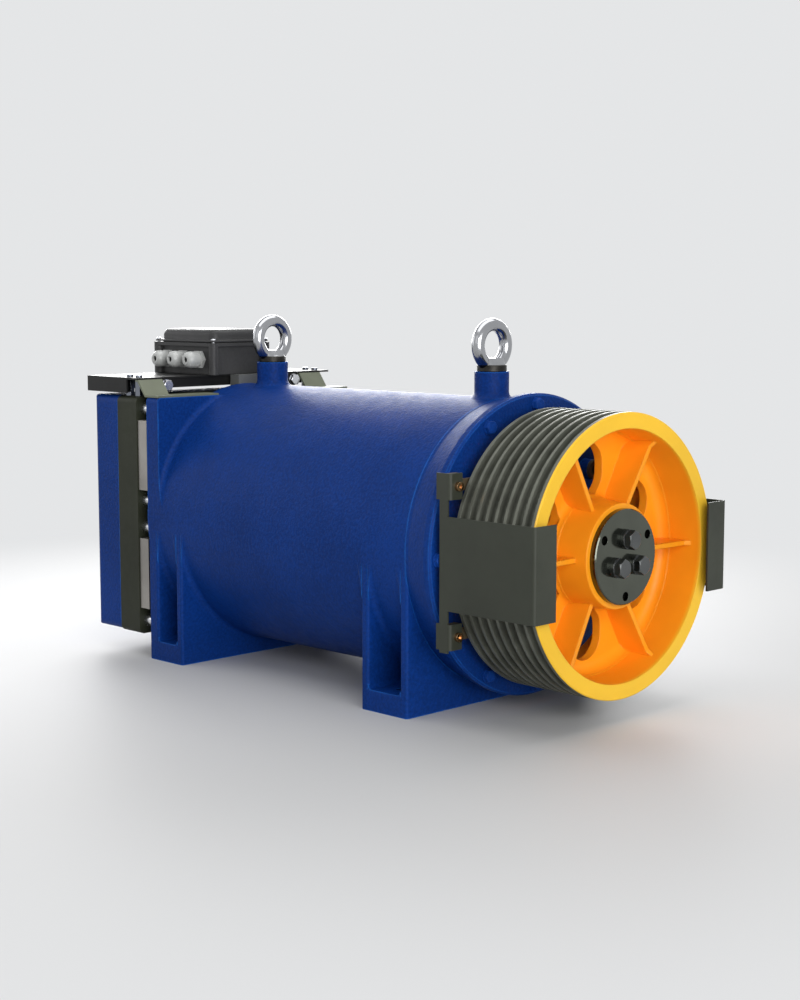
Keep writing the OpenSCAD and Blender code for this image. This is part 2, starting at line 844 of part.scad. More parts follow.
// A radial rib between hub and rim, in front of the web
module sheave_rib()
    translate([0, 0, -rib_t / 2])
        linear_extrude(height = rib_t)
            polygon([
                [hub_r - 4, sheave_front_y + rib_setback + 2],
                [rim_inner_r - 9, sheave_front_y + rib_setback - 2],
                [rim_inner_r + 2, sheave_front_y + rib_setback - 11],
                [rim_inner_r + 2, web_front_y + 4],
                [hub_r - 4, web_front_y + 4]
            ]);

module window_cut()
    translate([window_ring, web_rear_y + 4, 0])
        rotate([90, 0, 0])
            linear_extrude(height = web_t + 8) {
                for (s = [-1, 1])
                    translate([s * window_stretch / 2, 0])
                        circle(r = window_r);
                square([window_stretch, 2 * window_r], center = true);
            }

module traction_sheave()
    color([0.95, 0.5, 0.08])
        difference() {
            union() {
                about_shaft()
                    sheave_section();
                around_shaft(rib_count, 0)
                    sheave_rib();
            }
            around_shaft(rib_count, 0, 180 / rib_count)
                window_cut();
            block([-key_w / 2, sheave_front_y, shaft_h],
                  [key_w / 2, sheave_rear_y + 20,
                   shaft_h + sheave_seat_r - key_sink + key_h + fastener_gap]);
        }

/* ---- Shaft end ---- */
module shaft_end_plate()
    color([0.28, 0.3, 0.28])
        difference() {
            about_shaft()
                polygon([
                    [0, plate_front_y],
                    [end_plate_r - 1.5, plate_front_y],
                    [end_plate_r, plate_front_y + 1.5],
                    [end_plate_r, hub_front_y],
                    [0, hub_front_y]
                ]);
            around_shaft(3, end_bolt_ring, 90)
                bar_y(end_bolt_r + fastener_gap, plate_front_y - over, hub_front_y + over, z = 0);
            around_shaft(3, jack_ring, 30)
                bar_y(jack_hole_d / 2, plate_front_y - over, hub_front_y + over, z = 0);
        }

end_bolt_flats = 24;
end_bolt_head = 11;
module end_plate_bolts()
    color([0.33, 0.35, 0.34])
        around_shaft(3, end_bolt_ring, 90)
            translate([0, plate_front_y, 0])
                hex_bolt(end_bolt_flats, end_bolt_head, end_bolt_r - seat_gap,
                         end_plate_t + end_bolt_depth - 4, 14, 6);

/* ---- Rope guards ---- */
guard_front_y = sheave_front_y - guard_lead;
guard_tab_y = sheave_rear_y - 8.5;
guard_drop = 2;
guard_bend_r = 5;
guard_strip_w = 20;
guard_ear_w = 6;
guard_ear_h = 36;
guard_tab_w = 24;
guard_screw_x = guard_x - 15;
guard_screw_r = 3;

// Plan of the guard's sheet: a flat length with a rounded bend towards the
// shaft at its front end; x is the distance from the shaft plane
module bent_plan(y0, y1, inward) {
    translate([guard_x - guard_t, y0 + guard_bend_r])
        square([guard_t, y1 - y0 - guard_bend_r]);
    translate([guard_x - inward, y0])
        square([inward - guard_bend_r, guard_t]);
    intersection() {
        translate([guard_x - guard_bend_r, y0 + guard_bend_r])
            difference() {
                circle(r = guard_bend_r);
                circle(r = guard_bend_r - guard_t);
            }
        translate([guard_x - guard_bend_r, y0])
            square([guard_bend_r, guard_bend_r]);
    }
}

module rope_guard()
    difference() {
        union() {
            translate([0, 0, shaft_h - guard_drop - guard_h / 2])
                linear_extrude(height = guard_h)
                    bent_plan(guard_front_y, guard_tab_y + guard_strip_w, guard_lip_w);
            translate([0, 0, shaft_h - guard_drop - guard_strip_h / 2])
                linear_extrude(height = guard_strip_h)
                    translate([guard_x - guard_t, guard_tab_y + guard_bend_r])
                        square([guard_t, guard_strip_w - guard_bend_r]);
            for (s = [-1, 1])
                translate([0, 0, shaft_h + s * arm_z - guard_ear_h / 2])
                    linear_extrude(height = guard_ear_h)
                        bent_plan(guard_tab_y, guard_tab_y + guard_strip_w + guard_ear_w,
                                  guard_tab_w);
        }
        for (s = [-1, 1])
            bar_y(guard_screw_r + fastener_gap, guard_tab_y - over, guard_tab_y + guard_t + over,
                  x = guard_screw_x, z = shaft_h + s * arm_z);
    }

module rope_guard_left()
    color([0.24, 0.25, 0.22])
        mirror([1, 0, 0])
            rope_guard();

module rope_guard_right()
    color([0.24, 0.25, 0.22])
        rope_guard();

// Places of the four arms: side and height sign
module at_arms()
    for (side = [0, 1], s = [-1, 1])
        mirror([side, 0, 0])
            translate([0, 0, shaft_h + s * arm_z])
                children();

arm_outer_x = guard_x - guard_t - 2;
arm_h = 16;
pad_w = 22;
module guard_arms()
    color([0.35, 0.27, 0.16])
        at_arms()
            difference() {
                union() {
                    block([arm_outer_x - guard_arm_len + 14, arm_front_y, -arm_h / 2],
                          [arm_outer_x, arm_front_y + arm_t, arm_h / 2]);
                    bar_y(arm_boss_r, arm_front_y, arm_front_y + arm_t, x = arm_boss_x, z = 0);
                    block([arm_outer_x - pad_w, guard_tab_y + guard_t, -guard_ear_h / 2 + 1],
                          [arm_outer_x, arm_front_y + arm_t, guard_ear_h / 2 - 1]);
                }
                bar_y(arm_thread_r + fastener_gap, arm_front_y - over,
                      arm_front_y + arm_t + over, x = arm_boss_x, z = 0);
                bar_y(guard_screw_r, guard_tab_y, guard_tab_y + 16, x = guard_screw_x, z = 0);
            }

module guard_screws()
    color([0.72, 0.45, 0.25])
        at_arms()
            translate([guard_screw_x, guard_tab_y, 0])
                cap_screw(6.5, 5, 5, guard_screw_r - seat_gap, 15);

arm_head_h = 4.5;
module arm_bolts()
    color([0.4, 0.38, 0.34])
        at_arms()
            translate([arm_boss_x, arm_front_y, 0])
                cap_screw(8.5, arm_head_h, 8, arm_thread_r - seat_gap,
                          shield_front_y + 10 - arm_front_y);

/* ---- Brake ---- */
disc_y0 = pocket_floor_y + running_gap;
disc_y1 = disc_y0 + brake_disc_t;
lining_t = 5;
lining_r = 96;
brake_hub_r = 46;
plate_y0 = disc_y1 + running_gap;
plate_y1 = magnet_front_y - plate_travel - 0.3;
plate_half_w = flange_w / 2 - 2;
magnet_spread = 100;
guide_x = plate_half_w - 25;
guide_r = 8;
spacer_r = 11;
spacer_inset = 20;
spacer_x = flange_w / 2 - spacer_inset + 1;
spacer_heights = [brake_bottom + spacer_inset + 2, shaft_h - 18.5, shaft_h + 25.5,
                  flange_top - spacer_inset];
plate_clear = 7;
lower_plate_z = spacer_heights[0] + spacer_r + plate_clear + 4;
lower_plate_h = spacer_heights[1] - spacer_r - plate_clear + 1 - lower_plate_z;
upper_plate_z = spacer_heights[2] + spacer_r + plate_clear;
upper_plate_h = spacer_heights[3] - spacer_r - plate_clear - upper_plate_z;
spacer_spots = [for (x = [-spacer_x, spacer_x], z = spacer_heights) [x, z]];
brake_bolt_r = 6;
brake_thread_depth = 18;
coil_half_len = 90;
coil_outer_r = 40;
coil_inner_r = 22;
coil_depth = 30;
spring_x = 152;
spring_z = 30;
spring_r = 9;
spring_depth = 34;

module brake_hub()
    color([0.5, 0.51, 0.53])
        difference() {
            translate([0, brake_hub_y0, shaft_h])
                rotate([-90, 0, 0])
                    cylinder(r = brake_hub_r, h = brake_hub_y1 - brake_hub_y0, $fn = 12);
            bar_y(brake_seat_r + seat_gap, brake_hub_y0 - over, brake_hub_y1 + over);
        }

module brake_disc()
    color([0.3, 0.3, 0.3])
        difference() {
            union() {
                bar_y(brake_disc_r - 6, disc_y0 + lining_t, disc_y1 - lining_t);
                ring_y(brake_disc_r, lining_r, disc_y0, disc_y0 + lining_t + 0.5);
                ring_y(brake_disc_r, lining_r, disc_y1 - lining_t - 0.5, disc_y1);
            }
            translate([0, disc_y0 - over, shaft_h])
                rotate([-90, 0, 0])
                    cylinder(r = brake_hub_r + spigot_gap, h = brake_disc_t + 2 * over, $fn = 12);
        }

module armature(z0, h)
    color([0.62, 0.6, 0.56])
        difference() {
            block([-plate_half_w, plate_y0, z0], [plate_half_w, plate_y1, z0 + h]);
            for (x = [-guide_x, guide_x])
                bar_y(guide_r + running_gap, plate_y0 - over, plate_y1 + over,
                      x = x, z = z0 + h / 2);
        }

module armature_upper()
    armature(upper_plate_z, upper_plate_h);

module armature_lower()
    armature(lower_plate_z, lower_plate_h);

guide_heights = [upper_plate_z + upper_plate_h / 2, lower_plate_z + lower_plate_h / 2];
magnet_centres = [shaft_h - magnet_spread, shaft_h + magnet_spread];

// An oblong outline across the shaft, extruded along it
module oblong(r, half_len, y0, y1, z)
    translate([0, y1, z])
        rotate([90, 0, 0])
            linear_extrude(height = y1 - y0) {
                for (s = [-1, 1])
                    translate([s * half_len, 0])
                        circle(r = r);
                square([2 * half_len, 2 * r], center = true);
            }

module brake_magnet_body()
    color([0.2, 0.21, 0.17])
        difference() {
            plate_xz(-flange_w / 2, flange_w / 2, brake_bottom, flange_top, 10,
                     magnet_front_y, magnet_rear_y);
            bar_y(tail_r + 8, magnet_front_y - over, magnet_rear_y + over);
            for (z = magnet_centres)
                difference() {
                    oblong(coil_outer_r, coil_half_len, magnet_front_y - over,
                           magnet_front_y + coil_depth, z);
                    oblong(coil_inner_r, coil_half_len, magnet_front_y - 2 * over,
                           magnet_front_y + coil_depth + over, z);
                }
            for (x = [-spring_x, spring_x], z = magnet_centres, s = [-1, 1])
                bar_y(spring_r + spigot_gap, magnet_front_y - over,
                      magnet_front_y + spring_depth, x = x, z = z + s * spring_z);
            for (x = [-guide_x, guide_x], z = guide_heights)
                bar_y(guide_r, magnet_front_y - over, magnet_front_y + 20, x = x, z = z);
            for (p = spacer_spots)
                bar_y(brake_bolt_r + fastener_gap, magnet_front_y - over, magnet_rear_y + over,
                      x = p[0], z = p[1]);
            for (p = cover_spots)
                bar_y(cover_screw_r, magnet_rear_y - cover_screw_depth, magnet_rear_y + over,
                      x = p[0], z = p[1]);
            around_shaft(encoder_screw_count, encoder_screw_ring, 90)
                bar_y(encoder_screw_r, magnet_rear_y - cover_screw_depth, magnet_rear_y + over,
                      z = 0);
        }

module brake_coils()
    color([0.6, 0.3, 0.14])
        for (z = magnet_centres)
            difference() {
                oblong(coil_outer_r - spigot_gap, coil_half_len, magnet_front_y + over,
                       magnet_front_y + coil_depth, z);
                oblong(coil_inner_r + spigot_gap, coil_half_len, magnet_front_y,
                       magnet_front_y + coil_depth + over, z);
            }

// Each spring is a sleeve whose outline follows the coils
module spring_sleeve(turns, wire_r, length)
    rotate([-90, 0, 0])
        rotate_extrude()
            translate([spring_r - wire_r, 0])
                for (i = [0 : turns - 1])
                    translate([0, wire_r + i * (length - 2 * wire_r) / (turns - 1)])
                        circle(r = wire_r, $fn = 24);

module brake_springs()
    color([0.5, 0.52, 0.55])
        for (x = [-spring_x, spring_x], z = magnet_centres, s = [-1, 1])
            translate([x, magnet_front_y, z + s * spring_z])
                spring_sleeve(9, 2.3, spring_depth);

module brake_guide_pins()
    color([0.6, 0.61, 0.63])
        for (x = [-guide_x, guide_x], z = guide_heights)
            bar_y(guide_r - seat_gap, housing_rear_y + 0.5, magnet_front_y + 20, x = x, z = z);

module brake_spacers()
    color([0.66, 0.67, 0.69])
        for (p = spacer_spots)
            difference() {
                bar_y(spacer_r, housing_rear_y, magnet_front_y, x = p[0], z = p[1]);
                bar_y(brake_bolt_r + fastener_gap, housing_rear_y - over, magnet_front_y + over,
                      x = p[0], z = p[1]);
            }

module brake_bolts()
    color([0.4, 0.41, 0.43])
        for (p = spacer_spots)
            translate([p[0], magnet_rear_y, p[1]])
                mirror([0, 1, 0])
                    hex_bolt(19, 8, brake_bolt_r - seat_gap,
                             magnet_t + brake_gap + brake_thread_depth - 3, 12, 2.5);

/* ---- Rear cover ---- */
cover_bottom = brake_bottom + 1;
cover_edge_r = 12;
cover_screw_r = 3;
cover_screw_depth = 12;
cover_boss_r = 8;
cover_half_w = flange_w / 2;
cover_screw_x = flange_w / 2 - 69;
cover_screw_inset = 24;
cover_spots = [for (x = [-cover_screw_x, cover_screw_x],
                    z = [cover_bottom + cover_screw_inset, shaft_h, flange_top - cover_screw_inset])
    [x, z]];

// A box with its four long edges and its rear edges rounded
module cover_form(inset)
    intersection() {
        plate_xz(-cover_half_w + inset, cover_half_w - inset, cover_bottom + inset,
                 flange_top - inset, cover_edge_r - inset,
                 magnet_rear_y - (inset > 0 ? over : 0), cover_rear_y - inset);
        translate([0, (magnet_rear_y + cover_rear_y - inset) / 2 - 20, 0])
            linear_extrude(height = flange_top + 50)
                round_rect([2 * (cover_half_w - inset), cover_depth - inset + 40],
                           cover_edge_r - inset);
    }

module rear_cover()
    color([0.06, 0.16, 0.5])
        difference() {
            union() {
                difference() {
                    cover_form(0);
                    cover_form(cover_wall);
                }
                for (p = cover_spots)
                    bar_y(cover_boss_r, magnet_rear_y, cover_rear_y - cover_wall + 1,
                          x = p[0], z = p[1]);
            }
            for (p = cover_spots)
                bar_y(cover_screw_r + fastener_gap, magnet_rear_y - over, cover_rear_y + over,
                      x = p[0], z = p[1]);
        }

module rear_cover_screws()
    color([0.45, 0.46, 0.48])
        for (p = cover_spots)
            translate([p[0], cover_rear_y, p[1]])
                mirror([0, 1, 0])
                    cap_screw(5.5, 5, 5, cover_screw_r - seat_gap,
                              cover_depth + cover_screw_depth - 2);

encoder_r = 44;
encoder_flange_r = 60;
encoder_flange_t = 6;
encoder_screw_count = 3;
encoder_screw_ring = 52;
encoder_screw_r = 2.5;
module encoder()
    color([0.15, 0.15, 0.16])
        difference() {
            union() {
                bar_y(encoder_r, encoder_y, encoder_y + encoder_len);
                bar_y(encoder_flange_r, encoder_y, encoder_y + encoder_flange_t);
            }
            bar_y(encoder_shaft_r + running_gap, encoder_y - over, encoder_y + encoder_len - 8);
            around_shaft(encoder_screw_count, encoder_screw_ring, 90)
                bar_y(encoder_screw_r + fastener_gap, encoder_y - over,
                      encoder_y + encoder_flange_t + over, z = 0);
        }

module encoder_screws()
    color([0.5, 0.5, 0.52])
        around_shaft(encoder_screw_count, encoder_screw_ring, 90)
            translate([0, encoder_y + encoder_flange_t, 0])
                mirror([0, 1, 0])
                    cap_screw(4.25, 5, 4, encoder_screw_r - seat_gap,
                              encoder_flange_t + cover_screw_depth - 2);

/* ---- Tray over the brake ---- */
tray_top = flange_top + tray_rise;
tray_front_y = magnet_front_y - 4;
tray_rear_y = tray_front_y + tray_len;
tray_half_w = flange_w / 2;
tray_lip_h = 25;
tray_lip_y = tray_front_y + 29;
front_lip_h = 18;
front_lip_y = tray_front_y + 4;
bracket_t = 3;
bracket_w = 48;
bracket_edge = 2;
duct_half_w = 36;
bracket_foot_in = max(lead_x + duct_half_w + bracket_edge, 3.4
    + sqrt(max(0, pow(barrel_r, 2) - pow(flange_top - shaft_h, 2))));
near_leg_x = -tray_half_w + bracket_edge;
far_leg_inset = 67;
far_leg_x = tray_half_w - bracket_edge - far_leg_inset;
tray_bolt_gap = 11;
tray_bolt_xs = [near_leg_x + bracket_w + tray_bolt_gap, far_leg_x - tray_bolt_gap];
tray_bolt_z = tray_top - 14;
tray_bolt_r = 5;
post_x = flange_w / 2 - 17;
post_hex_w = 13;
post_head_r = 5.5;
post_head_h = 4;
tray_hex_w = 17;
post_ys = [magnet_front_y + 14, magnet_front_y + 38];
lead_notch = 36;
tray_under = tray_top - tray_t;
lead_deck_y = tray_front_y + 30;

module brake_tray()
    color([0.09, 0.09, 0.09])
        difference() {
            union() {
                block([-tray_half_w, tray_front_y, tray_under],
                      [tray_half_w, tray_rear_y, tray_top]);
                for (s = [-1, 1])
                    block([s > 0 ? tray_half_w - tray_t : -tray_half_w, tray_lip_y,
                           tray_top - tray_lip_h],
                          [s > 0 ? tray_half_w : -tray_half_w + tray_t, tray_rear_y,
                           tray_top - 1]);
                block([-tray_half_w, tray_rear_y - tray_t, tray_top - tray_lip_h],
                      [tray_half_w, tray_rear_y, tray_top - 1]);
                block([near_leg_x + bracket_w + 2, front_lip_y, tray_top - front_lip_h],
                      [far_leg_x - 2, front_lip_y + tray_t, tray_top - 1]);
            }
            for (x = tray_bolt_xs)
                bar_y(tray_bolt_r + fastener_gap, front_lip_y - over,
                      front_lip_y + tray_t + over, x = x, z = tray_bolt_z);
            for (x = [-post_x, post_x], y = post_ys)
                translate([x, y, tray_under - over])
                    cylinder(r = 3 + fastener_gap, h = tray_t + 2 * over);
            translate([lead_x, lead_deck_y, tray_under - over])
                cylinder(r = lead_hole_r, h = tray_t + 2 * over);
            block([lead_x - lead_notch / 2, front_lip_y - over, tray_top - front_lip_h - over],
                  [lead_x + lead_notch / 2, front_lip_y + tray_t + over, tray_under]);
        }

// A foot on the brake flange with a leg that leans back to the tray
module leg(x0, foot_x0, foot_x1) {
    foot_top = flange_top + bracket_t;
    block([foot_x0, flange_front_y + 2, flange_top], [foot_x1, housing_rear_y + 6, foot_top]);
    translate([x0, 0, 0])
        rotate([90, 0, 90])
            linear_extrude(height = bracket_w)
                polygon([
                    [housing_rear_y + 6 - bracket_t, flange_top],
                    [housing_rear_y + 6, flange_top],
                    [tray_front_y + bracket_t, tray_under - bracket_t],
                    [tray_front_y + 8, tray_under - bracket_t],
                    [tray_front_y + 8, tray_under],
                    [tray_front_y, tray_under]
                ]);
}

module tray_bracket()
    color([0.62, 0.63, 0.55]) {
        leg(near_leg_x, near_leg_x, -bracket_foot_in);
        leg(far_leg_x, bracket_foot_in, tray_half_w - bracket_edge);
    }

module tray_bolts()
    color([0.75, 0.76, 0.78])
        for (x = tray_bolt_xs)
            translate([x, front_lip_y, tray_bolt_z]) {
                hex_bolt(tray_hex_w, 6.5, tray_bolt_r - seat_gap, tray_t + 11, 10, 1.6);
                translate([0, tray_t + 8, 0])
                    rotate([90, 0, 0])
                        cylinder(d = tray_hex_w / cos(30), h = 8, $fn = 6);
            }

module tray_posts()
    color([0.6, 0.6, 0.68])
        for (x = [-post_x, post_x], y = post_ys)
            translate([x, y, flange_top]) {
                cylinder(d = post_hex_w / cos(30), h = tray_under - flange_top, $fn = 6);
                cylinder(r = 2.9, h = tray_under - flange_top + tray_t);
                translate([0, 0, tray_under - flange_top + tray_t])
                    cylinder(r = post_head_r, h = post_head_h);
            }

/* ---- Cable duct ---- */
// A sheet cover over the leads, screwed to the back of the brake flange
duct_y0 = housing_rear_y + seat_gap;
duct_y1 = tray_front_y - 0.5;
duct_t = 2;
duct_top = tray_top - 0.3;
duct_side_z = flange_top + bracket_t;
duct_tab_z = lead_z - 4;
module cable_duct()
    color([0.62, 0.63, 0.62])
        difference() {
            union() {
                block([lead_x - duct_half_w, duct_y0, duct_tab_z],
                      [lead_x + duct_half_w, duct_y0 + duct_t, duct_top]);
                block([lead_x - duct_half_w, duct_y0, duct_side_z],
                      [lead_x + duct_half_w, duct_y1, duct_top]);
            }
            block([lead_x - duct_half_w + duct_t, duct_y0 + duct_t, duct_side_z - over],
                  [lead_x + duct_half_w - duct_t, duct_y1 + over, duct_top - duct_t]);
            bar_y(lead_hole_r + fastener_gap, duct_y0 - over, duct_y0 + duct_t + over,
                  x = lead_x, z = lead_z);
            for (p = duct_spots)
                bar_y(duct_screw_r + fastener_gap, duct_y0 - over, duct_y0 + duct_t + over,
                      x = p[0], z = p[1]);
        }

module duct_screws()
    color([0.7, 0.7, 0.72])
        for (p = duct_spots)
            translate([p[0], duct_y0 + duct_t, p[1]])
                mirror([0, 1, 0])
                    cap_screw(4.25, 4, 4, duct_screw_r - seat_gap, duct_screw_depth);

/* ---- Terminal box ---- */
box_bottom = tray_top;
box_front_y = tray_front_y - 4;
box_rear_y = box_front_y + box_len;
box_mid_y = (box_front_y + box_rear_y) / 2;
box_corner_r = 10;
base_top = box_bottom + box_base_h;
gasket_t = 1.5;
lid_bottom = base_top + gasket_t;
lid_top = lid_bottom + box_lid_h;
lug_r = 8;
lug_out = 2;
band_h = 6;
lid_flange_t = 3;
lid_screw_r = 2.5;
lug_spots = [for (sx = [-1, 1], sy = [-1, 1])
    [sx * (box_w / 2 + lug_out), box_mid_y + sy * (box_len / 2 + lug_out)]];
gland_z = box_bottom + 25;
gland_shift = 7;
gland_ys = [for (i = [0 : gland_count - 1])
    box_mid_y + gland_shift + (i - (gland_count - 1) / 2) * gland_pitch];
gland_hole_r = 10;
gland_bore_r = 7;

module box_outline(inset)
    translate([0, box_mid_y])
        round_rect([box_w - 2 * inset, box_len - 2 * inset], box_corner_r - inset);

// The rim that holds the lid
module rim(z0, h)
    translate([0, box_mid_y, z0])
        linear_extrude(height = h)
            round_rect([box_w + 2 * lug_r, box_len + 2 * lug_r], lug_r);

module lug_bars(r, z0, h)
    for (p = lug_spots)
        translate([p[0], p[1], z0])
            cylinder(r = r, h = h);

module terminal_box_base()
    color([0.42, 0.43, 0.43])
        difference() {
            union() {
                translate([0, 0, box_bottom])
                    linear_extrude(height = box_base_h)
                        box_outline(0);
                rim(base_top - band_h, band_h);
                lug_bars(lug_r, box_bottom, box_base_h);
            }
            lug_bars(lid_screw_r, box_bottom - over, box_base_h + 2 * over);
            translate([0, 0, box_bottom + box_wall])
                linear_extrude(height = box_base_h)
                    box_outline(box_wall);
            for (y = gland_ys)
                translate([-box_w / 2 - over, y, gland_z])
                    rotate([0, 90, 0])
                        cylinder(r = gland_hole_r, h = box_wall + 2 * over);
            translate([lead_x, lead_deck_y, box_bottom - over])
                cylinder(r = lead_hole_r, h = box_wall + 2 * over);
        }

module terminal_box_gasket()
    color([0.05, 0.05, 0.05])
        translate([0, 0, base_top])
            linear_extrude(height = gasket_t)
                difference() {
                    box_outline(0.4);
                    box_outline(box_wall);
                }

lid_edge_r = 5;
// The lid's block, with its top edges rounded
module lid_form()
    intersection() {
        translate([0, 0, lid_bottom])
            linear_extrude(height = box_lid_h)
                box_outline(0);
        plate_xz(-box_w / 2, box_w / 2, lid_bottom - box_lid_h, lid_top, lid_edge_r,
                 box_front_y, box_rear_y);
        translate([-box_w / 2, box_mid_y, lid_bottom])
            rotate([90, 0, 90])
                linear_extrude(height = box_w)
                    round_rect([box_len, 2 * box_lid_h], lid_edge_r);
    }

module terminal_box_lid()
    color([0.45, 0.46, 0.46])
        difference() {
            union() {
                lid_form();
                rim(lid_bottom, lid_flange_t);
            }
            lug_bars(lid_screw_r + fastener_gap, lid_bottom - over, lid_flange_t + 2 * over);
            translate([0, 0, lid_bottom - over])
                linear_extrude(height = box_lid_h - box_wall + over)
                    box_outline(box_wall);
        }

module lid_screws()
    color([0.85, 0.85, 0.87])
        for (p = lug_spots)
            translate([p[0], p[1], lid_bottom + lid_flange_t])
                rotate([-90, 0, 0])
                    cap_screw(4.5, 3.2, 4, lid_screw_r - seat_gap, 2 * lug_r);

block_x = -12;
block_len = 84;
block_w = 30;
block_h = 20;
stud_count = 6;
module terminal_block()
    color([0.75, 0.72, 0.62])
        block([block_x - block_w / 2, box_mid_y - block_len / 2, box_bottom + box_wall],
              [block_x + block_w / 2, box_mid_y + block_len / 2,
               box_bottom + box_wall + block_h]);

module terminal_studs()
    color([0.75, 0.6, 0.3])
        for (i = [0 : stud_count - 1])
            translate([block_x, box_mid_y + (i - (stud_count - 1) / 2) * 13,
                       box_bottom + box_wall + block_h]) {
                cylinder(r = 3, h = 16);
                cylinder(d = 10 / cos(30), h = 5, $fn = 6);
            }

/* ---- Cable glands ---- */
// Children are drawn along +X, out of the box's left wall
module at_glands()
    for (y = gland_ys)
        translate([-box_w / 2, y, gland_z])
            mirror([1, 0, 0])
                children();

gland_hex_l = 6;
gland_neck_l = 3;
gland_nut_l = 22;
gland_dome_l = 11;
gland_tail_l = 6;
gland_face_r = 6.5;
gland_mouth_r = 4.6;
gland_seal_r = 3.5;
module gland_bodies()
    color([0.7, 0.71, 0.7])
        at_glands()
            difference() {
                union() {
                    rotate([0, 90, 0])
                        rotate(30)
                            cylinder(d = gland_w / cos(30), h = gland_hex_l, $fn = 6);
                    rotate([0, 90, 0])
                        cylinder(r = gland_w / 2 - 2, h = gland_hex_l + gland_neck_l);
                    translate([-box_wall - gland_tail_l, 0, 0])
                        rotate([0, 90, 0])
                            cylinder(r = gland_hole_r - seat_gap, h = box_wall + gland_tail_l + 1);
                }
                translate([-box_wall - gland_tail_l - over, 0, 0])
                    rotate([0, 90, 0])
                        cylinder(r = gland_bore_r, h = box_wall + gland_tail_l + gland_nut_l);
            }

module gland_nuts()
    color([0.78, 0.79, 0.78])
        at_glands()
            difference() {
                translate([gland_hex_l + gland_neck_l, 0, 0])
                    rotate([0, 90, 0])
                        rotate_extrude()
                            difference() {
                                polygon(concat(
                                    [[gland_mouth_r, 0], [gland_w / 2, 0]],
                                    [for (a = [0 : 15 : 90])
                                        [gland_face_r + (gland_w / 2 - gland_face_r) * cos(a),
                                         gland_nut_l - gland_dome_l * (1 - sin(a))]],
                                    [[gland_mouth_r, gland_nut_l]]
                                ));
                                translate([0, -over])
                                    square([gland_bore_r + 2, gland_nut_l - 3 + over]);
                            }
                for (a = [0 : 60 : 300])
                    rotate([a, 0, 0])
                        block([gland_hex_l, -gland_w, gland_w / 2 - 0.6],
                              [gland_hex_l + gland_neck_l + 9, gland_w, gland_w]);
            }

module gland_seals()
    color([0.12, 0.12, 0.12])
        at_glands()
            translate([gland_hex_l + gland_neck_l, 0, 0])
                rotate([0, 90, 0])
                    difference() {
                        cylinder(r = gland_bore_r + 2 - seat_gap, h = gland_nut_l - 4);
                        translate([0, 0, -over])
                            cylinder(r = gland_seal_r, h = gland_nut_l);
                    }

housing();
front_end_shield();
shield_bolts();
eyebolts();
stator_core();
stator_windings();
front_bearing_outer_ring();
rear_bearing_outer_ring();
front_bearing_cover();
bearing_cover_bolts();
shaft_seal();
shaft();
rotor_core();
rotor_magnets();
front_bearing_inner_ring();
rear_bearing_inner_ring();
front_bearing_rollers();
rear_bearing_balls();
bearing_locknut();
traction_sheave();
sheave_key();
shaft_end_plate();
end_plate_bolts();
rope_guard_left();
rope_guard_right();
guard_arms();
guard_screws();
arm_bolts();
brake_hub();
brake_disc();
armature_upper();
armature_lower();
brake_magnet_body();
brake_coils();
brake_springs();
brake_guide_pins();
brake_spacers();
brake_bolts();
encoder();
encoder_screws();
rear_cover();
rear_cover_screws();
tray_bracket();
brake_tray();
tray_bolts();
tray_posts();
cable_duct();
duct_screws();
terminal_box_base();
terminal_box_gasket();
terminal_box_lid();
lid_screws();
terminal_block();
terminal_studs();
gland_bodies();
gland_nuts();
gland_seals();
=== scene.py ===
import json
import math

import bmesh
import bpy
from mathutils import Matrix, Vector


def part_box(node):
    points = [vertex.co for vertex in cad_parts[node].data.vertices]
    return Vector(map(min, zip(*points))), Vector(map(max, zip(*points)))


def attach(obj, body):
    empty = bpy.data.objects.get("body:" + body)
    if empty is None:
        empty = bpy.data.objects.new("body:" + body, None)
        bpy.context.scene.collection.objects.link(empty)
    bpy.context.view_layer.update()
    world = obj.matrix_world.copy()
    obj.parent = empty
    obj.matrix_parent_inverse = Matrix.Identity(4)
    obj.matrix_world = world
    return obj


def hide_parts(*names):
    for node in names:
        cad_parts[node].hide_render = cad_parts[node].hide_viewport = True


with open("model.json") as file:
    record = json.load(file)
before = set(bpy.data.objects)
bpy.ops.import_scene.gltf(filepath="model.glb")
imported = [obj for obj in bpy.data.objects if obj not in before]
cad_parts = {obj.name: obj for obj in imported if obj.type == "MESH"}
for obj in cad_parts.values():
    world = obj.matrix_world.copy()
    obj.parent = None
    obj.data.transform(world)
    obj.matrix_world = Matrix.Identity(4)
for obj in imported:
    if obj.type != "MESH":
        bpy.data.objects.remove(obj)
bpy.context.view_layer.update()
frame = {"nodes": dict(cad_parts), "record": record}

MM = 0.001

# ---------------------------------------------------------------- the frame
nodes = frame["nodes"]
sheave_low, sheave_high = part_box("traction_sheave")
shaft_z = 0.5 * (sheave_low.z + sheave_high.z)

# ---------------------------------------------------------------- the camera
CAMERA_AT = (-1.92465, -1.99634, 0.59645)
CAMERA_AZIMUTH, CAMERA_ELEVATION = -44.98, 6.78  # degrees
CAMERA_LENS, CAMERA_SENSOR = 63.69, 36.0  # mm
CAMERA_CLIP_END = 50.0


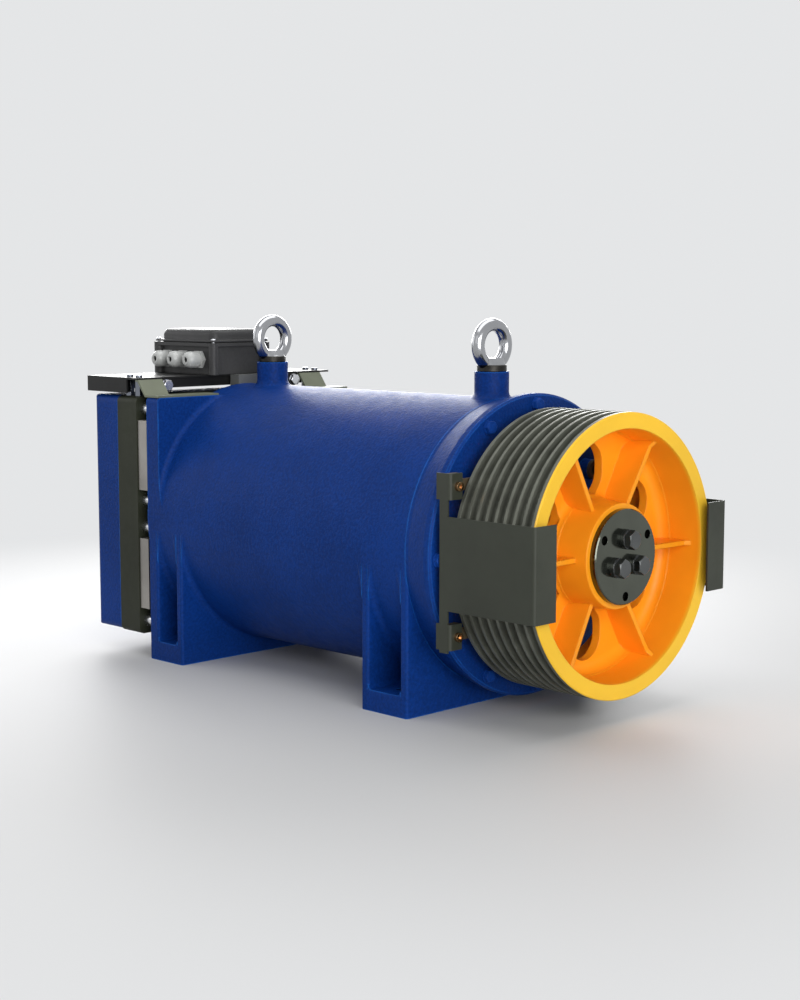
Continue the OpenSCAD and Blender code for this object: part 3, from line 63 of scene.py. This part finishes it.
def make_camera():
    """A long lens, low and to the front left, looking slightly down."""
    azimuth, elevation = math.radians(CAMERA_AZIMUTH), math.radians(CAMERA_ELEVATION)
    back = Vector((
        math.sin(azimuth) * math.cos(elevation),
        -math.cos(azimuth) * math.cos(elevation),
        math.sin(elevation),
    ))
    data = bpy.data.cameras.new("camera")
    data.sensor_fit = "AUTO"
    data.sensor_width = CAMERA_SENSOR
    data.lens = CAMERA_LENS
    data.clip_end = CAMERA_CLIP_END
    camera = bpy.data.objects.new("camera", data)
    camera.location = CAMERA_AT
    camera.rotation_euler = (-back).to_track_quat("-Z", "Y").to_euler()
    bpy.context.scene.collection.objects.link(camera)
    bpy.context.scene.camera = camera


# ---------------------------------------------------------------- the studio
PALE = (0.78, 0.79, 0.8)
WORLD_AS_LIGHT, WORLD_AS_SEEN = 0.3, 1.0
FLOOR_COLOR = (0.6, 0.6, 0.6)
FLOOR_REACH = 20.0
FLOOR_FADE_START, FLOOR_FADE_END = 0.6, 1.7  # distances from the origin
MACHINE_MIDDLE = (0.0, 0.0, 0.3)
SHEAVE_MIDDLE = (0.0, -0.45, shaft_z)
LAMPS = [
    # name, place, target, width and height, watts
    ("top_softbox", (0.1, 0.0, 2.6), MACHINE_MIDDLE, (1.8, 3.4), 38),
    ("front_key", (-1.5, -3.1, 1.0), SHEAVE_MIDDLE, (2.6, 2.0), 84),
    ("left_fill", (-2.7, -0.4, 1.6), MACHINE_MIDDLE, (1.6, 1.6), 4),
    ("back_right", (1.85, 2.35, 1.2), MACHINE_MIDDLE, (3.0, 1.3), 105),
    ("rear_light", (-1.6, 2.6, 1.3), MACHINE_MIDDLE, (1.6, 1.6), 10),
]


def make_lamp(name, place, target, size, power):
    data = bpy.data.lights.new(name, "AREA")
    data.shape = "RECTANGLE"
    data.size, data.size_y = size
    data.energy = power
    lamp = bpy.data.objects.new(name, data)
    lamp.location = place
    direction = Vector(target) - Vector(place)
    lamp.rotation_euler = direction.to_track_quat("-Z", "Y").to_euler()
    lamp.visible_camera = False
    bpy.context.scene.collection.objects.link(lamp)


def seen_directly(tree):
    """1 for camera, glossy and transmission rays, 0 for the rays that light the object."""
    paths = tree.nodes.new("ShaderNodeLightPath")
    total = paths.outputs["Is Camera Ray"]
    for output in ("Is Glossy Ray", "Is Transmission Ray"):
        joined = tree.nodes.new("ShaderNodeMath")
        joined.operation = "MAXIMUM"
        tree.links.new(total, joined.inputs[0])
        tree.links.new(paths.outputs[output], joined.inputs[1])
        total = joined.outputs["Value"]
    return total


def make_world():
    """A dim pale room for the light, and the same room at full strength where it is seen."""
    world = bpy.data.worlds.new("studio")
    bpy.context.scene.world = world
    world.use_nodes = True
    tree = world.node_tree
    background = tree.nodes["Background"]
    background.inputs["Color"].default_value = (*PALE, 1)
    strength = tree.nodes.new("ShaderNodeMix")
    strength.data_type = "FLOAT"
    strength.inputs["A"].default_value = WORLD_AS_LIGHT
    strength.inputs["B"].default_value = WORLD_AS_SEEN
    tree.links.new(seen_directly(tree), strength.inputs["Factor"])
    tree.links.new(strength.outputs["Result"], background.inputs["Strength"])


def make_floor_paint():
    """Pale paint that fades into the background far away, for the rays that see it directly."""
    material = bpy.data.materials.new("floor_paint")
    material.use_nodes = True
    tree = material.node_tree
    near = tree.nodes["Principled BSDF"]
    near.inputs["Base Color"].default_value = (*FLOOR_COLOR, 1)
    near.inputs["Roughness"].default_value = 0.6
    near.inputs["Specular IOR Level"].default_value = 0.25
    far = tree.nodes.new("ShaderNodeEmission")
    far.inputs["Color"].default_value = (*PALE, 1)
    coords = tree.nodes.new("ShaderNodeTexCoord")
    distance = tree.nodes.new("ShaderNodeVectorMath")
    distance.operation = "LENGTH"
    tree.links.new(coords.outputs["Object"], distance.inputs[0])
    fade = tree.nodes.new("ShaderNodeMapRange")
    fade.interpolation_type = "SMOOTHSTEP"
    fade.inputs["From Min"].default_value = FLOOR_FADE_START
    fade.inputs["From Max"].default_value = FLOOR_FADE_END
    tree.links.new(distance.outputs["Value"], fade.inputs["Value"])
    factor = tree.nodes.new("ShaderNodeMath")
    factor.operation = "MULTIPLY"
    tree.links.new(fade.outputs["Result"], factor.inputs[0])
    tree.links.new(seen_directly(tree), factor.inputs[1])
    blend = tree.nodes.new("ShaderNodeMixShader")
    tree.links.new(factor.outputs["Value"], blend.inputs["Fac"])
    tree.links.new(near.outputs["BSDF"], blend.inputs[1])
    tree.links.new(far.outputs["Emission"], blend.inputs[2])
    tree.links.new(blend.outputs["Shader"], tree.nodes["Material Output"].inputs["Surface"])
    return material


def make_floor():
    """A plain pale floor that keeps the shadow."""
    mesh = bpy.data.meshes.new("floor")
    reach = FLOOR_REACH
    corners = [(-reach, -reach, 0), (reach, -reach, 0), (reach, reach, 0), (-reach, reach, 0)]
    mesh.from_pydata(corners, [], [(0, 1, 2, 3)])
    mesh.materials.append(make_floor_paint())
    floor = bpy.data.objects.new("floor", mesh)
    bpy.context.scene.collection.objects.link(floor)


def make_studio():
    for lamp in LAMPS:
        make_lamp(*lamp)
    make_world()
    make_floor()
    bpy.context.scene.view_settings.view_transform = "Standard"


# ---------------------------------------------------------------- materials
def shade(color, factor):
    return tuple(min(1.0, c * factor) for c in color)


class Shader:
    """A material under construction: a Principled shader and the nodes that feed it.

    Noise scales are in cells per metre, and lengths are in metres.
    """

    # The first input and the output of a Mix node, for each kind of data
    MIX_SOCKETS = {"FLOAT": (2, 0), "RGBA": (6, 2)}
    BEVEL_SAMPLES = 4
    MASK_SAMPLES = 6
    # The cosine between rounded and flat normal on a full edge, and off it
    MASK_EDGE, MASK_FLAT = 0.86, 0.985

    def __init__(self, name, color, roughness, metallic=0.0, specular=0.5):
        self.material = bpy.data.materials.new(name)
        self.material.use_nodes = True
        self.tree = self.material.node_tree
        self.bsdf = self.tree.nodes["Principled BSDF"]
        self.set("Base Color", (*color, 1))
        self.set("Roughness", roughness)
        self.set("Metallic", metallic)
        self.set("Specular IOR Level", specular)
        self.coords = self.node("ShaderNodeTexCoord").outputs["Object"]
        self.normal = None

    def set(self, socket, value):
        self.bsdf.inputs[socket].default_value = value

    def feed(self, value, socket):
        """Link another node's output, or set a plain number, vector or colour."""
        if isinstance(value, bpy.types.NodeSocket):
            self.tree.links.new(value, socket)
        elif socket.type == "RGBA":
            socket.default_value = (*value, 1)
        else:
            socket.default_value = value

    def node(self, kind, **inputs):
        made = self.tree.nodes.new(kind)
        for key, value in inputs.items():
            self.feed(value, made.inputs[key.replace("_", " ")])
        return made

    def link(self, output, socket):
        self.tree.links.new(output, self.bsdf.inputs[socket])

    def math(self, operation, *values):
        made = self.tree.nodes.new("ShaderNodeMath")
        made.operation = operation
        for value, socket in zip(values, made.inputs):
            self.feed(value, socket)
        return made.outputs["Value"]

    def noise(self, scale, detail=2.0, roughness=0.5, stretch=None):
        vector = self.coords
        if stretch:
            vector = self.node("ShaderNodeMapping", Vector=self.coords, Scale=stretch)
            vector = vector.outputs["Vector"]
        return self.node("ShaderNodeTexNoise", Vector=vector, Scale=scale, Detail=detail,
                         Roughness=roughness).outputs["Fac"]

    def ramp(self, value, low, high):
        """Fade from the first (position, colour) to the second."""
        made = self.node("ShaderNodeValToRGB", Fac=value)
        for element, (position, color) in zip(made.color_ramp.elements, (low, high)):
            element.position = position
            element.color = (*color, 1)
        return made.outputs["Color"]

    def mottle(self, color, scale, low=0.86, high=1.12, detail=3):
        """The colour, a little darker and lighter from place to place."""
        return self.ramp(self.noise(scale, detail),
                         (0.35, shade(color, low)), (0.65, shade(color, high)))

    def spread(self, value, low, high, start=0.3, end=0.7):
        """Map the value from start..end to low..high."""
        made = self.node("ShaderNodeMapRange", Value=value, From_Min=start, From_Max=end,
                         To_Min=low, To_Max=high)
        return made.outputs["Result"]

    def step(self, value, edge, blur):
        """0 below the edge, 1 above it."""
        return self.spread(value, 0.0, 1.0, edge - blur, edge + blur)

    def inverse(self, value):
        return self.math("SUBTRACT", 1.0, value)

    def mixed(self, kind, factor, low, high):
        first, result = self.MIX_SOCKETS[kind]
        made = self.tree.nodes.new("ShaderNodeMix")
        made.data_type = kind
        self.feed(factor, made.inputs["Factor"])
        self.feed(low, made.inputs[first])
        self.feed(high, made.inputs[first + 1])
        return made.outputs[result]

    def axis(self, letter):
        return self.node("ShaderNodeSeparateXYZ", Vector=self.coords).outputs[letter]

    def shaft_radius(self):
        """Distance from the shaft's axis."""
        up = self.math("SUBTRACT", self.axis("Z"), shaft_z)
        flat = self.node("ShaderNodeCombineXYZ", X=self.axis("X"), Z=up)
        radius = self.node("ShaderNodeVectorMath", Vector=flat.outputs["Vector"])
        radius.operation = "LENGTH"
        return radius.outputs["Value"]

    def round_edges(self, radius):
        made = self.node("ShaderNodeBevel", Radius=radius)
        made.samples = self.BEVEL_SAMPLES
        self.normal = made.outputs["Normal"]

    def edge_mask(self, radius):
        """1 along the edges and in the corners of the shape, 0 away from them."""
        rounded = self.node("ShaderNodeBevel", Radius=radius)
        rounded.samples = self.MASK_SAMPLES
        surface = self.node("ShaderNodeNewGeometry")
        turn = self.node("ShaderNodeVectorMath")
        turn.operation = "DOT_PRODUCT"
        self.feed(rounded.outputs["Normal"], turn.inputs[0])
        self.feed(surface.outputs["Normal"], turn.inputs[1])
        return self.spread(turn.outputs["Value"], 1.0, 0.0, self.MASK_EDGE, self.MASK_FLAT)

    def bump(self, height, depth, strength):
        made = self.node("ShaderNodeBump", Height=height, Distance=depth, Strength=strength)
        if self.normal is not None:
            self.tree.links.new(self.normal, made.inputs["Normal"])
        self.normal = made.outputs["Normal"]

    def done(self):
        if self.normal is not None:
            self.link(self.normal, "Normal")
        return self.material


def cast_paint(name, color, edge, grain=240, depth=0.9, roughness=(0.4, 0.5), specular=0.08,
               haze=(0.8, 1.22), painted_edge_highlight=None):
    """Enamel over a sand casting: pebbled, uneven in colour and gloss, with an optional painted
    highlight in a lighter colour along its edges and in its corners.

    The edge's radius and the pebbles' depth are in millimetres.
    """
    pebble_share = 0.6  # the rest of the colour's variation is in large clouds
    highlight_reach = 2.4  # in edge radii
    s = Shader(name, color, roughness=0.42, specular=specular)
    pebbles = s.noise(grain, detail=3, roughness=0.6)
    clouds = s.math("MULTIPLY", s.noise(6, detail=3), 1 - pebble_share)
    patches = s.math("MULTIPLY_ADD", pebbles, pebble_share, clouds)
    enamel = s.ramp(patches, (0.4, shade(color, haze[0])), (0.6, shade(color, haze[1])))
    # Painted highlight: a lighter colour along convex and concave edges alike, broken up by
    # noise
    if painted_edge_highlight:
        edges = s.edge_mask(highlight_reach * edge * MM)
        highlight_breakup = s.spread(s.noise(30, detail=4), 0.25, 0.9)
        enamel = s.mixed("RGBA", s.math("MULTIPLY", edges, highlight_breakup), enamel, painted_edge_highlight)
    s.link(enamel, "Base Color")
    s.link(s.spread(s.noise(60, detail=4), *roughness), "Roughness")
    s.round_edges(edge * MM)
    s.bump(s.noise(40), depth=0.8 * MM, strength=0.25)
    s.bump(pebbles, depth=depth * MM, strength=1.0)
    return s.done()


def satin_paint(name, color, roughness=(0.38, 0.52), specular=0.35):
    """Sprayed satin paint on sheet or machined metal."""
    s = Shader(name, color, roughness=0.45, specular=specular)
    s.link(s.mottle(color, scale=9), "Base Color")
    s.link(s.spread(s.noise(70, detail=4), *roughness), "Roughness")
    s.round_edges(0.6 * MM)
    s.bump(s.noise(900), depth=0.1 * MM, strength=0.4)
    return s.done()


def turned_steel(name, color, roughness=(0.22, 0.36), stretch=(6, 900, 6), edge=0.5):
    """Machined metal with fine tool marks along one direction."""
    s = Shader(name, color, roughness=0.3, metallic=1.0)
    s.link(s.mottle(color, scale=14, low=0.84), "Base Color")
    s.link(s.spread(s.noise(1.0, detail=3, stretch=stretch), *roughness), "Roughness")
    s.round_edges(edge * MM)
    s.bump(s.noise(1.0, stretch=stretch), depth=0.04 * MM, strength=0.5)
    return s.done()


def plated(name, color, roughness, edge=0.4):
    """Bright plating with faint hazing."""
    s = Shader(name, color, roughness=0.1, metallic=1.0)
    s.link(s.mottle(color, scale=30, low=0.94, high=1.04), "Base Color")
    s.link(s.spread(s.noise(120, detail=4), *roughness), "Roughness")
    s.round_edges(edge * MM)
    s.bump(s.noise(260), depth=0.02 * MM, strength=0.3)
    return s.done()


def moulded(name, color, roughness=(0.34, 0.46)):
    """Moulded plastic or rubber with a fine spark-eroded grain."""
    s = Shader(name, color, roughness=0.4)
    s.link(s.mottle(color, scale=22, low=0.93, high=1.05, detail=2), "Base Color")
    s.link(s.spread(s.noise(90, detail=3), *roughness), "Roughness")
    s.round_edges(0.5 * MM)
    s.bump(s.noise(1500), depth=0.05 * MM, strength=0.4)
    return s.done()


# Where the lifting eyes' collars sit, and how high they are
EYE_SEAT_Z = 0.4783
EYE_COLLAR_H = 0.0095


def chrome_eye(name, color, collar_color):
    """Bright plated lifting eyes on a dark forged collar."""
    s = Shader(name, color, roughness=0.08, metallic=1.0)
    ring = s.step(s.axis("Z"), EYE_SEAT_Z + EYE_COLLAR_H, blur=0.0003)
    s.link(s.mixed("RGBA", ring, s.mottle(collar_color, scale=60, low=0.7, high=1.3),
                   s.mottle(color, scale=30, low=0.95, high=1.03)), "Base Color")
    s.link(s.mixed("FLOAT", ring, 0.42, s.spread(s.noise(90, detail=3), 0.13, 0.2)),
           "Roughness")
    return s.done()


# Where the sheave's finishes end: radii (R) from the shaft's axis, and widths (W) along it
RIM_PAINT_R = 0.1835
RIM_PAINT_W = 0.0022
# The rim's front face, where a yellower copy of the orange is painted on as a highlight
RIM_FACE_R = 0.1762
RIM_FACE_W = 0.004
GROOVE_LAND_R = 0.197
# The hub's seat under the end plate: near black, as bare steel and as painted shade in the end
# plate's holes
HUB_SEAT_R = 0.0655
HUB_SEAT_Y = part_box("shaft_end_plate")[1].y
HUB_SEAT_W = 0.002
SHARP_BLUR = 0.0004


def sheave_finish(name, orange, lit_face_yellow, steel, seat_steel_and_shade):
    """Gloss enamel with a painted highlight on the rim's face (a yellower copy of the orange),
    oiled steel grooves, and a near-black hub seat that is bare steel and painted shade in the
    end plate's holes.
    """
    s = Shader(name, orange, roughness=0.34, specular=0.22)
    radius = s.shaft_radius()
    depth = s.axis("Y")
    outside = s.step(radius, RIM_PAINT_R, SHARP_BLUR)
    behind = s.step(depth, sheave_low.y + RIM_PAINT_W, SHARP_BLUR)
    bare = s.math("MULTIPLY", outside, behind)
    # Painted highlight: the rim's front face takes the yellower copy of the orange
    face = s.math("MULTIPLY", s.step(radius, RIM_FACE_R, blur=0.0015),
                  s.inverse(s.step(depth, sheave_low.y + RIM_FACE_W, blur=0.003)))
    # Bare steel and painted shade: the near-black seat darkens what shows through the end
    # plate's holes
    seat = s.math("MULTIPLY", s.inverse(s.step(radius, HUB_SEAT_R, blur=0.0005)),
                  s.inverse(s.step(depth, HUB_SEAT_Y + HUB_SEAT_W, blur=0.0005)))
    paint = s.mixed("RGBA", face, s.mottle(orange, scale=7, low=0.9, high=1.07),
                    s.mottle(lit_face_yellow, scale=7, low=0.94, high=1.05))
    coated = s.mixed("RGBA", seat, paint, s.mottle(seat_steel_and_shade, scale=60, low=0.7, high=1.3))
    land = s.step(radius, GROOVE_LAND_R, blur=0.003)
    metal = s.mixed("RGBA", land, s.mottle(steel, scale=24, low=0.8, high=1.2, detail=4),
                    s.mottle(shade(steel, 1.1), scale=24, low=0.85, high=1.2, detail=4))
    s.link(s.mixed("RGBA", bare, coated, metal), "Base Color")
    s.link(s.mixed("FLOAT", bare, 0.0, 0.5), "Metallic")
    s.link(s.mixed("FLOAT", bare, s.spread(s.noise(60, detail=3), 0.3, 0.42),
                   s.spread(s.noise(60, detail=3), 0.34, 0.5)), "Roughness")
    s.round_edges(s.mixed("FLOAT", outside, 2.6 * MM, 0.7 * MM))
    s.bump(s.noise(60), depth=0.5 * MM, strength=0.15)
    s.bump(s.noise(260), depth=0.12 * MM, strength=0.4)
    return s.done()


# For each material, what makes its finish and how it looks
FINISHES = {
    # The housing's lighter blue along its edges is a painted highlight
    "housing_paint": (cast_paint, dict(color=(0.003, 0.031, 0.182), edge=1.6,
                                       painted_edge_highlight=(0.012, 0.14, 0.56))),
    "bolt_paint": (cast_paint, dict(color=(0.005, 0.042, 0.235), edge=0.8, grain=320,
                                    depth=0.3)),
    "box_cast": (cast_paint, dict(color=(0.05, 0.05, 0.051), edge=1.8, grain=420, depth=0.15,
                                  roughness=(0.3, 0.42), specular=0.16, haze=(0.88, 1.12))),
    "guard_paint": (satin_paint, dict(color=(0.032, 0.036, 0.026), specular=0.3)),
    "arm_paint": (satin_paint, dict(color=(0.07, 0.052, 0.03))),
    "magnet_paint": (satin_paint, dict(color=(0.025, 0.028, 0.018), roughness=(0.42, 0.55),
                                       specular=0.15)),
    "bracket_paint": (satin_paint, dict(color=(0.15, 0.165, 0.115), roughness=(0.4, 0.52))),
    "tray_black": (satin_paint, dict(color=(0.014, 0.014, 0.014), roughness=(0.34, 0.46),
                                     specular=0.16)),
    "duct_sheet": (satin_paint, dict(color=(0.16, 0.165, 0.16), roughness=(0.35, 0.5))),
    "core_steel": (turned_steel, dict(color=(0.22, 0.22, 0.23), roughness=(0.4, 0.55),
                                      stretch=(4, 1600, 4))),
    "copper": (turned_steel, dict(color=(0.62, 0.25, 0.1), roughness=(0.3, 0.42),
                                  stretch=(40, 700, 700))),
    "dark_steel": (turned_steel, dict(color=(0.11, 0.115, 0.115), roughness=(0.24, 0.36),
                                      edge=0.7)),
    "shaft_steel": (turned_steel, dict(color=(0.55, 0.56, 0.58))),
    "magnet": (turned_steel, dict(color=(0.42, 0.43, 0.46), roughness=(0.2, 0.35))),
    "friction_disc": (turned_steel, dict(color=(0.12, 0.12, 0.12), roughness=(0.45, 0.6))),
    "armature_steel": (turned_steel, dict(color=(0.3, 0.285, 0.265), roughness=(0.35, 0.5),
                                          stretch=(500, 500, 8))),
    "bearing_steel": (plated, dict(color=(0.66, 0.67, 0.69), roughness=(0.1, 0.2))),
    "end_plate_steel": (plated, dict(color=(0.105, 0.112, 0.092), roughness=(0.1, 0.17),
                                     edge=0.9)),
    "copper_screws": (plated, dict(color=(0.6, 0.36, 0.19), roughness=(0.14, 0.22))),
    "bright_steel": (plated, dict(color=(0.62, 0.63, 0.66), roughness=(0.2, 0.3))),
    "post_steel": (plated, dict(color=(0.2, 0.215, 0.25), roughness=(0.16, 0.26))),
    "brass": (plated, dict(color=(0.72, 0.52, 0.22), roughness=(0.15, 0.3))),
    "black_rubber": (moulded, dict(color=(0.018, 0.018, 0.018), roughness=(0.55, 0.7))),
    "encoder_black": (moulded, dict(color=(0.02, 0.02, 0.022))),
    "terminal_plastic": (moulded, dict(color=(0.55, 0.5, 0.38))),
    "gland_plastic": (moulded, dict(color=(0.5, 0.51, 0.5), roughness=(0.25, 0.36))),
    "eye_chrome": (chrome_eye, dict(color=(0.38, 0.385, 0.4),
                                    collar_color=(0.035, 0.033, 0.03))),
    # The sheave's yellow is a painted highlight on the rim's face
    "sheave_paint": (sheave_finish, dict(orange=(0.97, 0.34, 0.012), lit_face_yellow=(0.89, 0.53, 0.035),
                                         steel=(0.125, 0.13, 0.108),
                                         # The near-black seat colour is bare steel and painted
                                         # shade
                                         seat_steel_and_shade=(0.012, 0.011, 0.01))),
}

# Nodes that get another finish than their slot's own
NODE_FINISHES = {"tray_posts": "post_steel"}


def make_materials():
    return {name: finish(name, **look) for name, (finish, look) in FINISHES.items()}


def dress_cad_nodes():
    slots = {part["node"]: part["material_slot"] for part in frame["record"]["subparts"]}
    for name, obj in nodes.items():
        mesh = obj.data
        mesh.materials.clear()
        mesh.materials.append(materials[NODE_FINISHES.get(name, slots[name])])
        for polygon in mesh.polygons:
            polygon.material_index = 0


# ---------------------------------------------------------------- pieces
SHARP_EDGE = math.radians(40)
ON_AXIS = 1e-6


def new_piece(name, shape, body, slot, *replaced):
    """Turn the bmesh into a piece that is smooth but for its sharper edges."""
    bmesh.ops.recalc_face_normals(shape, faces=shape.faces)
    for face in shape.faces:
        face.smooth = True
    for edge in shape.edges:
        if len(edge.link_faces) == 2 and edge.calc_face_angle() > SHARP_EDGE:
            edge.smooth = False
    mesh = bpy.data.meshes.new(name)
    shape.to_mesh(mesh)
    shape.free()
    mesh.materials.append(materials[slot])
    piece = bpy.data.objects.new(name, mesh)
    bpy.context.scene.collection.objects.link(piece)
    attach(piece, body)
    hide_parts(*replaced)


def add_lathe(shape, profile, place, segments=48):
    """Turn (radius, height) pairs about the vertical, and stand them on the place."""
    turns = [2 * math.pi * i / segments for i in range(segments)]
    rings = []
    for radius, height in profile:
        if radius < ON_AXIS:
            points = [(0, 0, height)]
        else:
            points = [(radius * math.cos(turn), radius * math.sin(turn), height)
                      for turn in turns]
        rings.append([shape.verts.new(place + Vector(point)) for point in points])
    for low, high in zip(rings, rings[1:]):
        for i in range(segments):
            j = (i + 1) % segments
            corners = [low[i % len(low)], low[j % len(low)],
                       high[j % len(high)], high[i % len(high)]]
            shape.faces.new(list(dict.fromkeys(corners)))


def add_torus(shape, center, major, minor, segments=96, around=40):
    """A ring that stands upright across the shaft."""
    rings = []
    for i in range(segments):
        turn = 2 * math.pi * i / segments
        ring = []
        for j in range(around):
            roll = 2 * math.pi * j / around
            reach = major + minor * math.cos(roll)
            ring.append(shape.verts.new(center + Vector((
                reach * math.cos(turn), minor * math.sin(roll), reach * math.sin(turn)))))
        rings.append(ring)
    for i, ring in enumerate(rings):
        after = rings[(i + 1) % segments]
        for j in range(around):
            k = (j + 1) % around
            shape.faces.new([ring[j], ring[k], after[k], after[j]])


def add_loft(shape, sections, corner_steps=6):
    """Skin a stack of rounded rectangles: (half_x, half_y, corner, center)."""
    rings = []
    for half_x, half_y, corner, center in sections:
        ring = []
        for quarter, (sx, sy) in enumerate([(1, 1), (-1, 1), (-1, -1), (1, -1)]):
            for step in range(corner_steps + 1):
                turn = math.radians(90 * quarter + 90 * step / corner_steps)
                ring.append(shape.verts.new(center + Vector((
                    sx * (half_x - corner) + corner * math.cos(turn),
                    sy * (half_y - corner) + corner * math.sin(turn), 0))))
        rings.append(ring)
    count = len(rings[0])
    for low, high in zip(rings, rings[1:]):
        for i in range(count):
            j = (i + 1) % count
            shape.faces.new([low[i], low[j], high[j], high[i]])
    shape.faces.new(rings[0][::-1])
    shape.faces.new(rings[-1])


EYE_OUTER_R = 0.0394
EYE_BAR_R = 0.00965
EYE_HEADROOM = 0.0001  # keeps the ring inside the CAD box
EYE_COLLAR_R = 0.0219
EYE_COLLAR_FOOT, EYE_COLLAR_BEVEL = 0.0006, 0.0012
EYE_SADDLE = [
    # half length, half width, corner radius, height over the collar
    (0.0205, 0.0165, 0.014, -0.0004),
    (0.0196, 0.0148, 0.012, 0.0014),
    (0.0176, 0.0118, 0.005, 0.0088),
    (0.0168, 0.011, 0.004, 0.0096),
]
EYE_SHANK_R = 0.0097
EYE_SHANK_TIP = 0.001
THREAD_STEP, THREAD_DEPTH = 0.00125, 0.0009


def make_eyebolts():
    """Forged lifting eyes: a ring, a milled saddle, a collar and a shank."""
    low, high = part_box("eyebolts")
    shank_h = EYE_SEAT_Z - low.z
    threads = [(EYE_SHANK_R - (THREAD_DEPTH if i % 2 else 0), EYE_SHANK_TIP + THREAD_STEP * i)
               for i in range(int((shank_h - 2 * EYE_SHANK_TIP) / THREAD_STEP))]
    shape = bmesh.new()
    for y in (low.y + EYE_COLLAR_R, high.y - EYE_COLLAR_R):
        middle = Vector((0, y, high.z - EYE_OUTER_R - EYE_HEADROOM))
        add_torus(shape, middle, EYE_OUTER_R - EYE_BAR_R, EYE_BAR_R)
        add_lathe(shape, [
            (0, 0), (EYE_COLLAR_R - EYE_COLLAR_FOOT, 0), (EYE_COLLAR_R, EYE_COLLAR_FOOT),
            (EYE_COLLAR_R, EYE_COLLAR_H - EYE_COLLAR_BEVEL),
            (EYE_COLLAR_R - EYE_COLLAR_BEVEL, EYE_COLLAR_H),
            (0, EYE_COLLAR_H)], Vector((0, y, EYE_SEAT_Z)))
        collar_top = Vector((0, y, EYE_SEAT_Z + EYE_COLLAR_H))
        add_loft(shape, [(half_x, half_y, corner, collar_top + Vector((0, 0, height)))
                         for half_x, half_y, corner, height in EYE_SADDLE])
        add_lathe(shape, [(0, 0), (EYE_SHANK_R - EYE_SHANK_TIP, 0)] + threads
                  + [(EYE_SHANK_R, shank_h), (0, shank_h)], Vector((0, y, low.z)), 32)
    new_piece("lifting_eyes", shape, "machine_body", "eye_chrome", "eyebolts")


LID_WALL = 0.004
LID_FLANGE_T = 0.003
LID_FLANGE_CORNER = 0.008
LID_FLANGE_BEVEL, LID_FLANGE_BEVEL_CORNER = 0.0007, 0.0075
LID_STEP = 0.008  # from the flange's edge in to the wall
LID_CORNER = 0.014
LID_CAVITY_CORNER = 0.01
LID_CROWN_R = 0.011
LID_FILLET = [
    # how far out from the wall, height over the flange
    (0.0016, 0.0),
    (0.0005, 0.0005),
    (0.0, 0.0018),
]


def make_box_lid():
    """A cast lid: a thin flange, a fillet, soft upright corners and a crowned top edge."""
    low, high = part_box("terminal_box_lid")
    middle = 0.5 * (low + high)
    half = Vector((high.x - middle.x, high.y - middle.y))

    def section(inset, corner, z):
        return half.x - inset, half.y - inset, corner, Vector((middle.x, middle.y, z))

    cavity = LID_STEP + LID_WALL
    flange_top = low.z + LID_FLANGE_T
    sections = [
        section(cavity, LID_CAVITY_CORNER, high.z - LID_WALL),
        section(cavity, LID_CAVITY_CORNER, low.z),
        section(0, LID_FLANGE_CORNER, low.z),
        section(0, LID_FLANGE_CORNER, flange_top - LID_FLANGE_BEVEL),
        section(LID_FLANGE_BEVEL, LID_FLANGE_BEVEL_CORNER, flange_top),
    ]
    for out, height in LID_FILLET:
        sections.append(section(LID_STEP - out, LID_CORNER, flange_top + height))
    for degrees in range(0, 91, 10):
        turn = math.radians(degrees)
        inset = LID_CROWN_R * (1 - math.cos(turn))
        sections.append(section(LID_STEP + inset, LID_CORNER - inset,
                                high.z - LID_CROWN_R + LID_CROWN_R * math.sin(turn)))
    shape = bmesh.new()
    add_loft(shape, sections)
    new_piece("box_lid", shape, "machine_body", "box_cast", "terminal_box_lid")


SCREW_HEAD_R = 0.0045
SCREW_RIM_H, SCREW_RIM_BEVEL = 0.0006, 0.0003
SCREW_HEADROOM = 0.0001  # keeps the dome inside the CAD box
SCREW_DIMPLE_R, SCREW_DIMPLE_DEPTH = 0.001, 0.0012
SCREW_SHANK_R = 0.0023
SCREW_TIP_R, SCREW_TIP_H = 0.0018, 0.0008


def make_lid_screws():
    """Pan-head screws with a dimple, on the rim of the terminal box's lid."""
    low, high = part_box("lid_screws")
    head_h = high.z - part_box("terminal_box_lid")[0].z - LID_FLANGE_T
    shank_h = high.z - head_h - low.z
    dome_h = head_h - SCREW_RIM_H - SCREW_HEADROOM
    dimple_z = head_h - SCREW_DIMPLE_DEPTH
    dome = [(SCREW_HEAD_R * math.cos(turn), SCREW_RIM_H + dome_h * math.sin(turn))
            for turn in map(math.radians, range(0, 80, 10))]
    shape = bmesh.new()
    for x in (low.x + SCREW_HEAD_R, high.x - SCREW_HEAD_R):
        for y in (low.y + SCREW_HEAD_R, high.y - SCREW_HEAD_R):
            add_lathe(shape, [(0, 0), (SCREW_HEAD_R - SCREW_RIM_BEVEL, 0)] + dome
                      + [(SCREW_DIMPLE_R, dimple_z), (0, dimple_z)],
                      Vector((x, y, high.z - head_h)), 32)
            add_lathe(shape, [(0, 0), (SCREW_TIP_R, 0), (SCREW_SHANK_R, SCREW_TIP_H),
                              (SCREW_SHANK_R, shank_h), (0, shank_h)],
                      Vector((x, y, low.z)), 24)
    new_piece("box_screws", shape, "machine_body", "bright_steel", "lid_screws")


# ---------------------------------------------------------------- the build
make_camera()
make_studio()
materials = make_materials()
dress_cad_nodes()
make_eyebolts()
make_box_lid()
make_lid_screws()
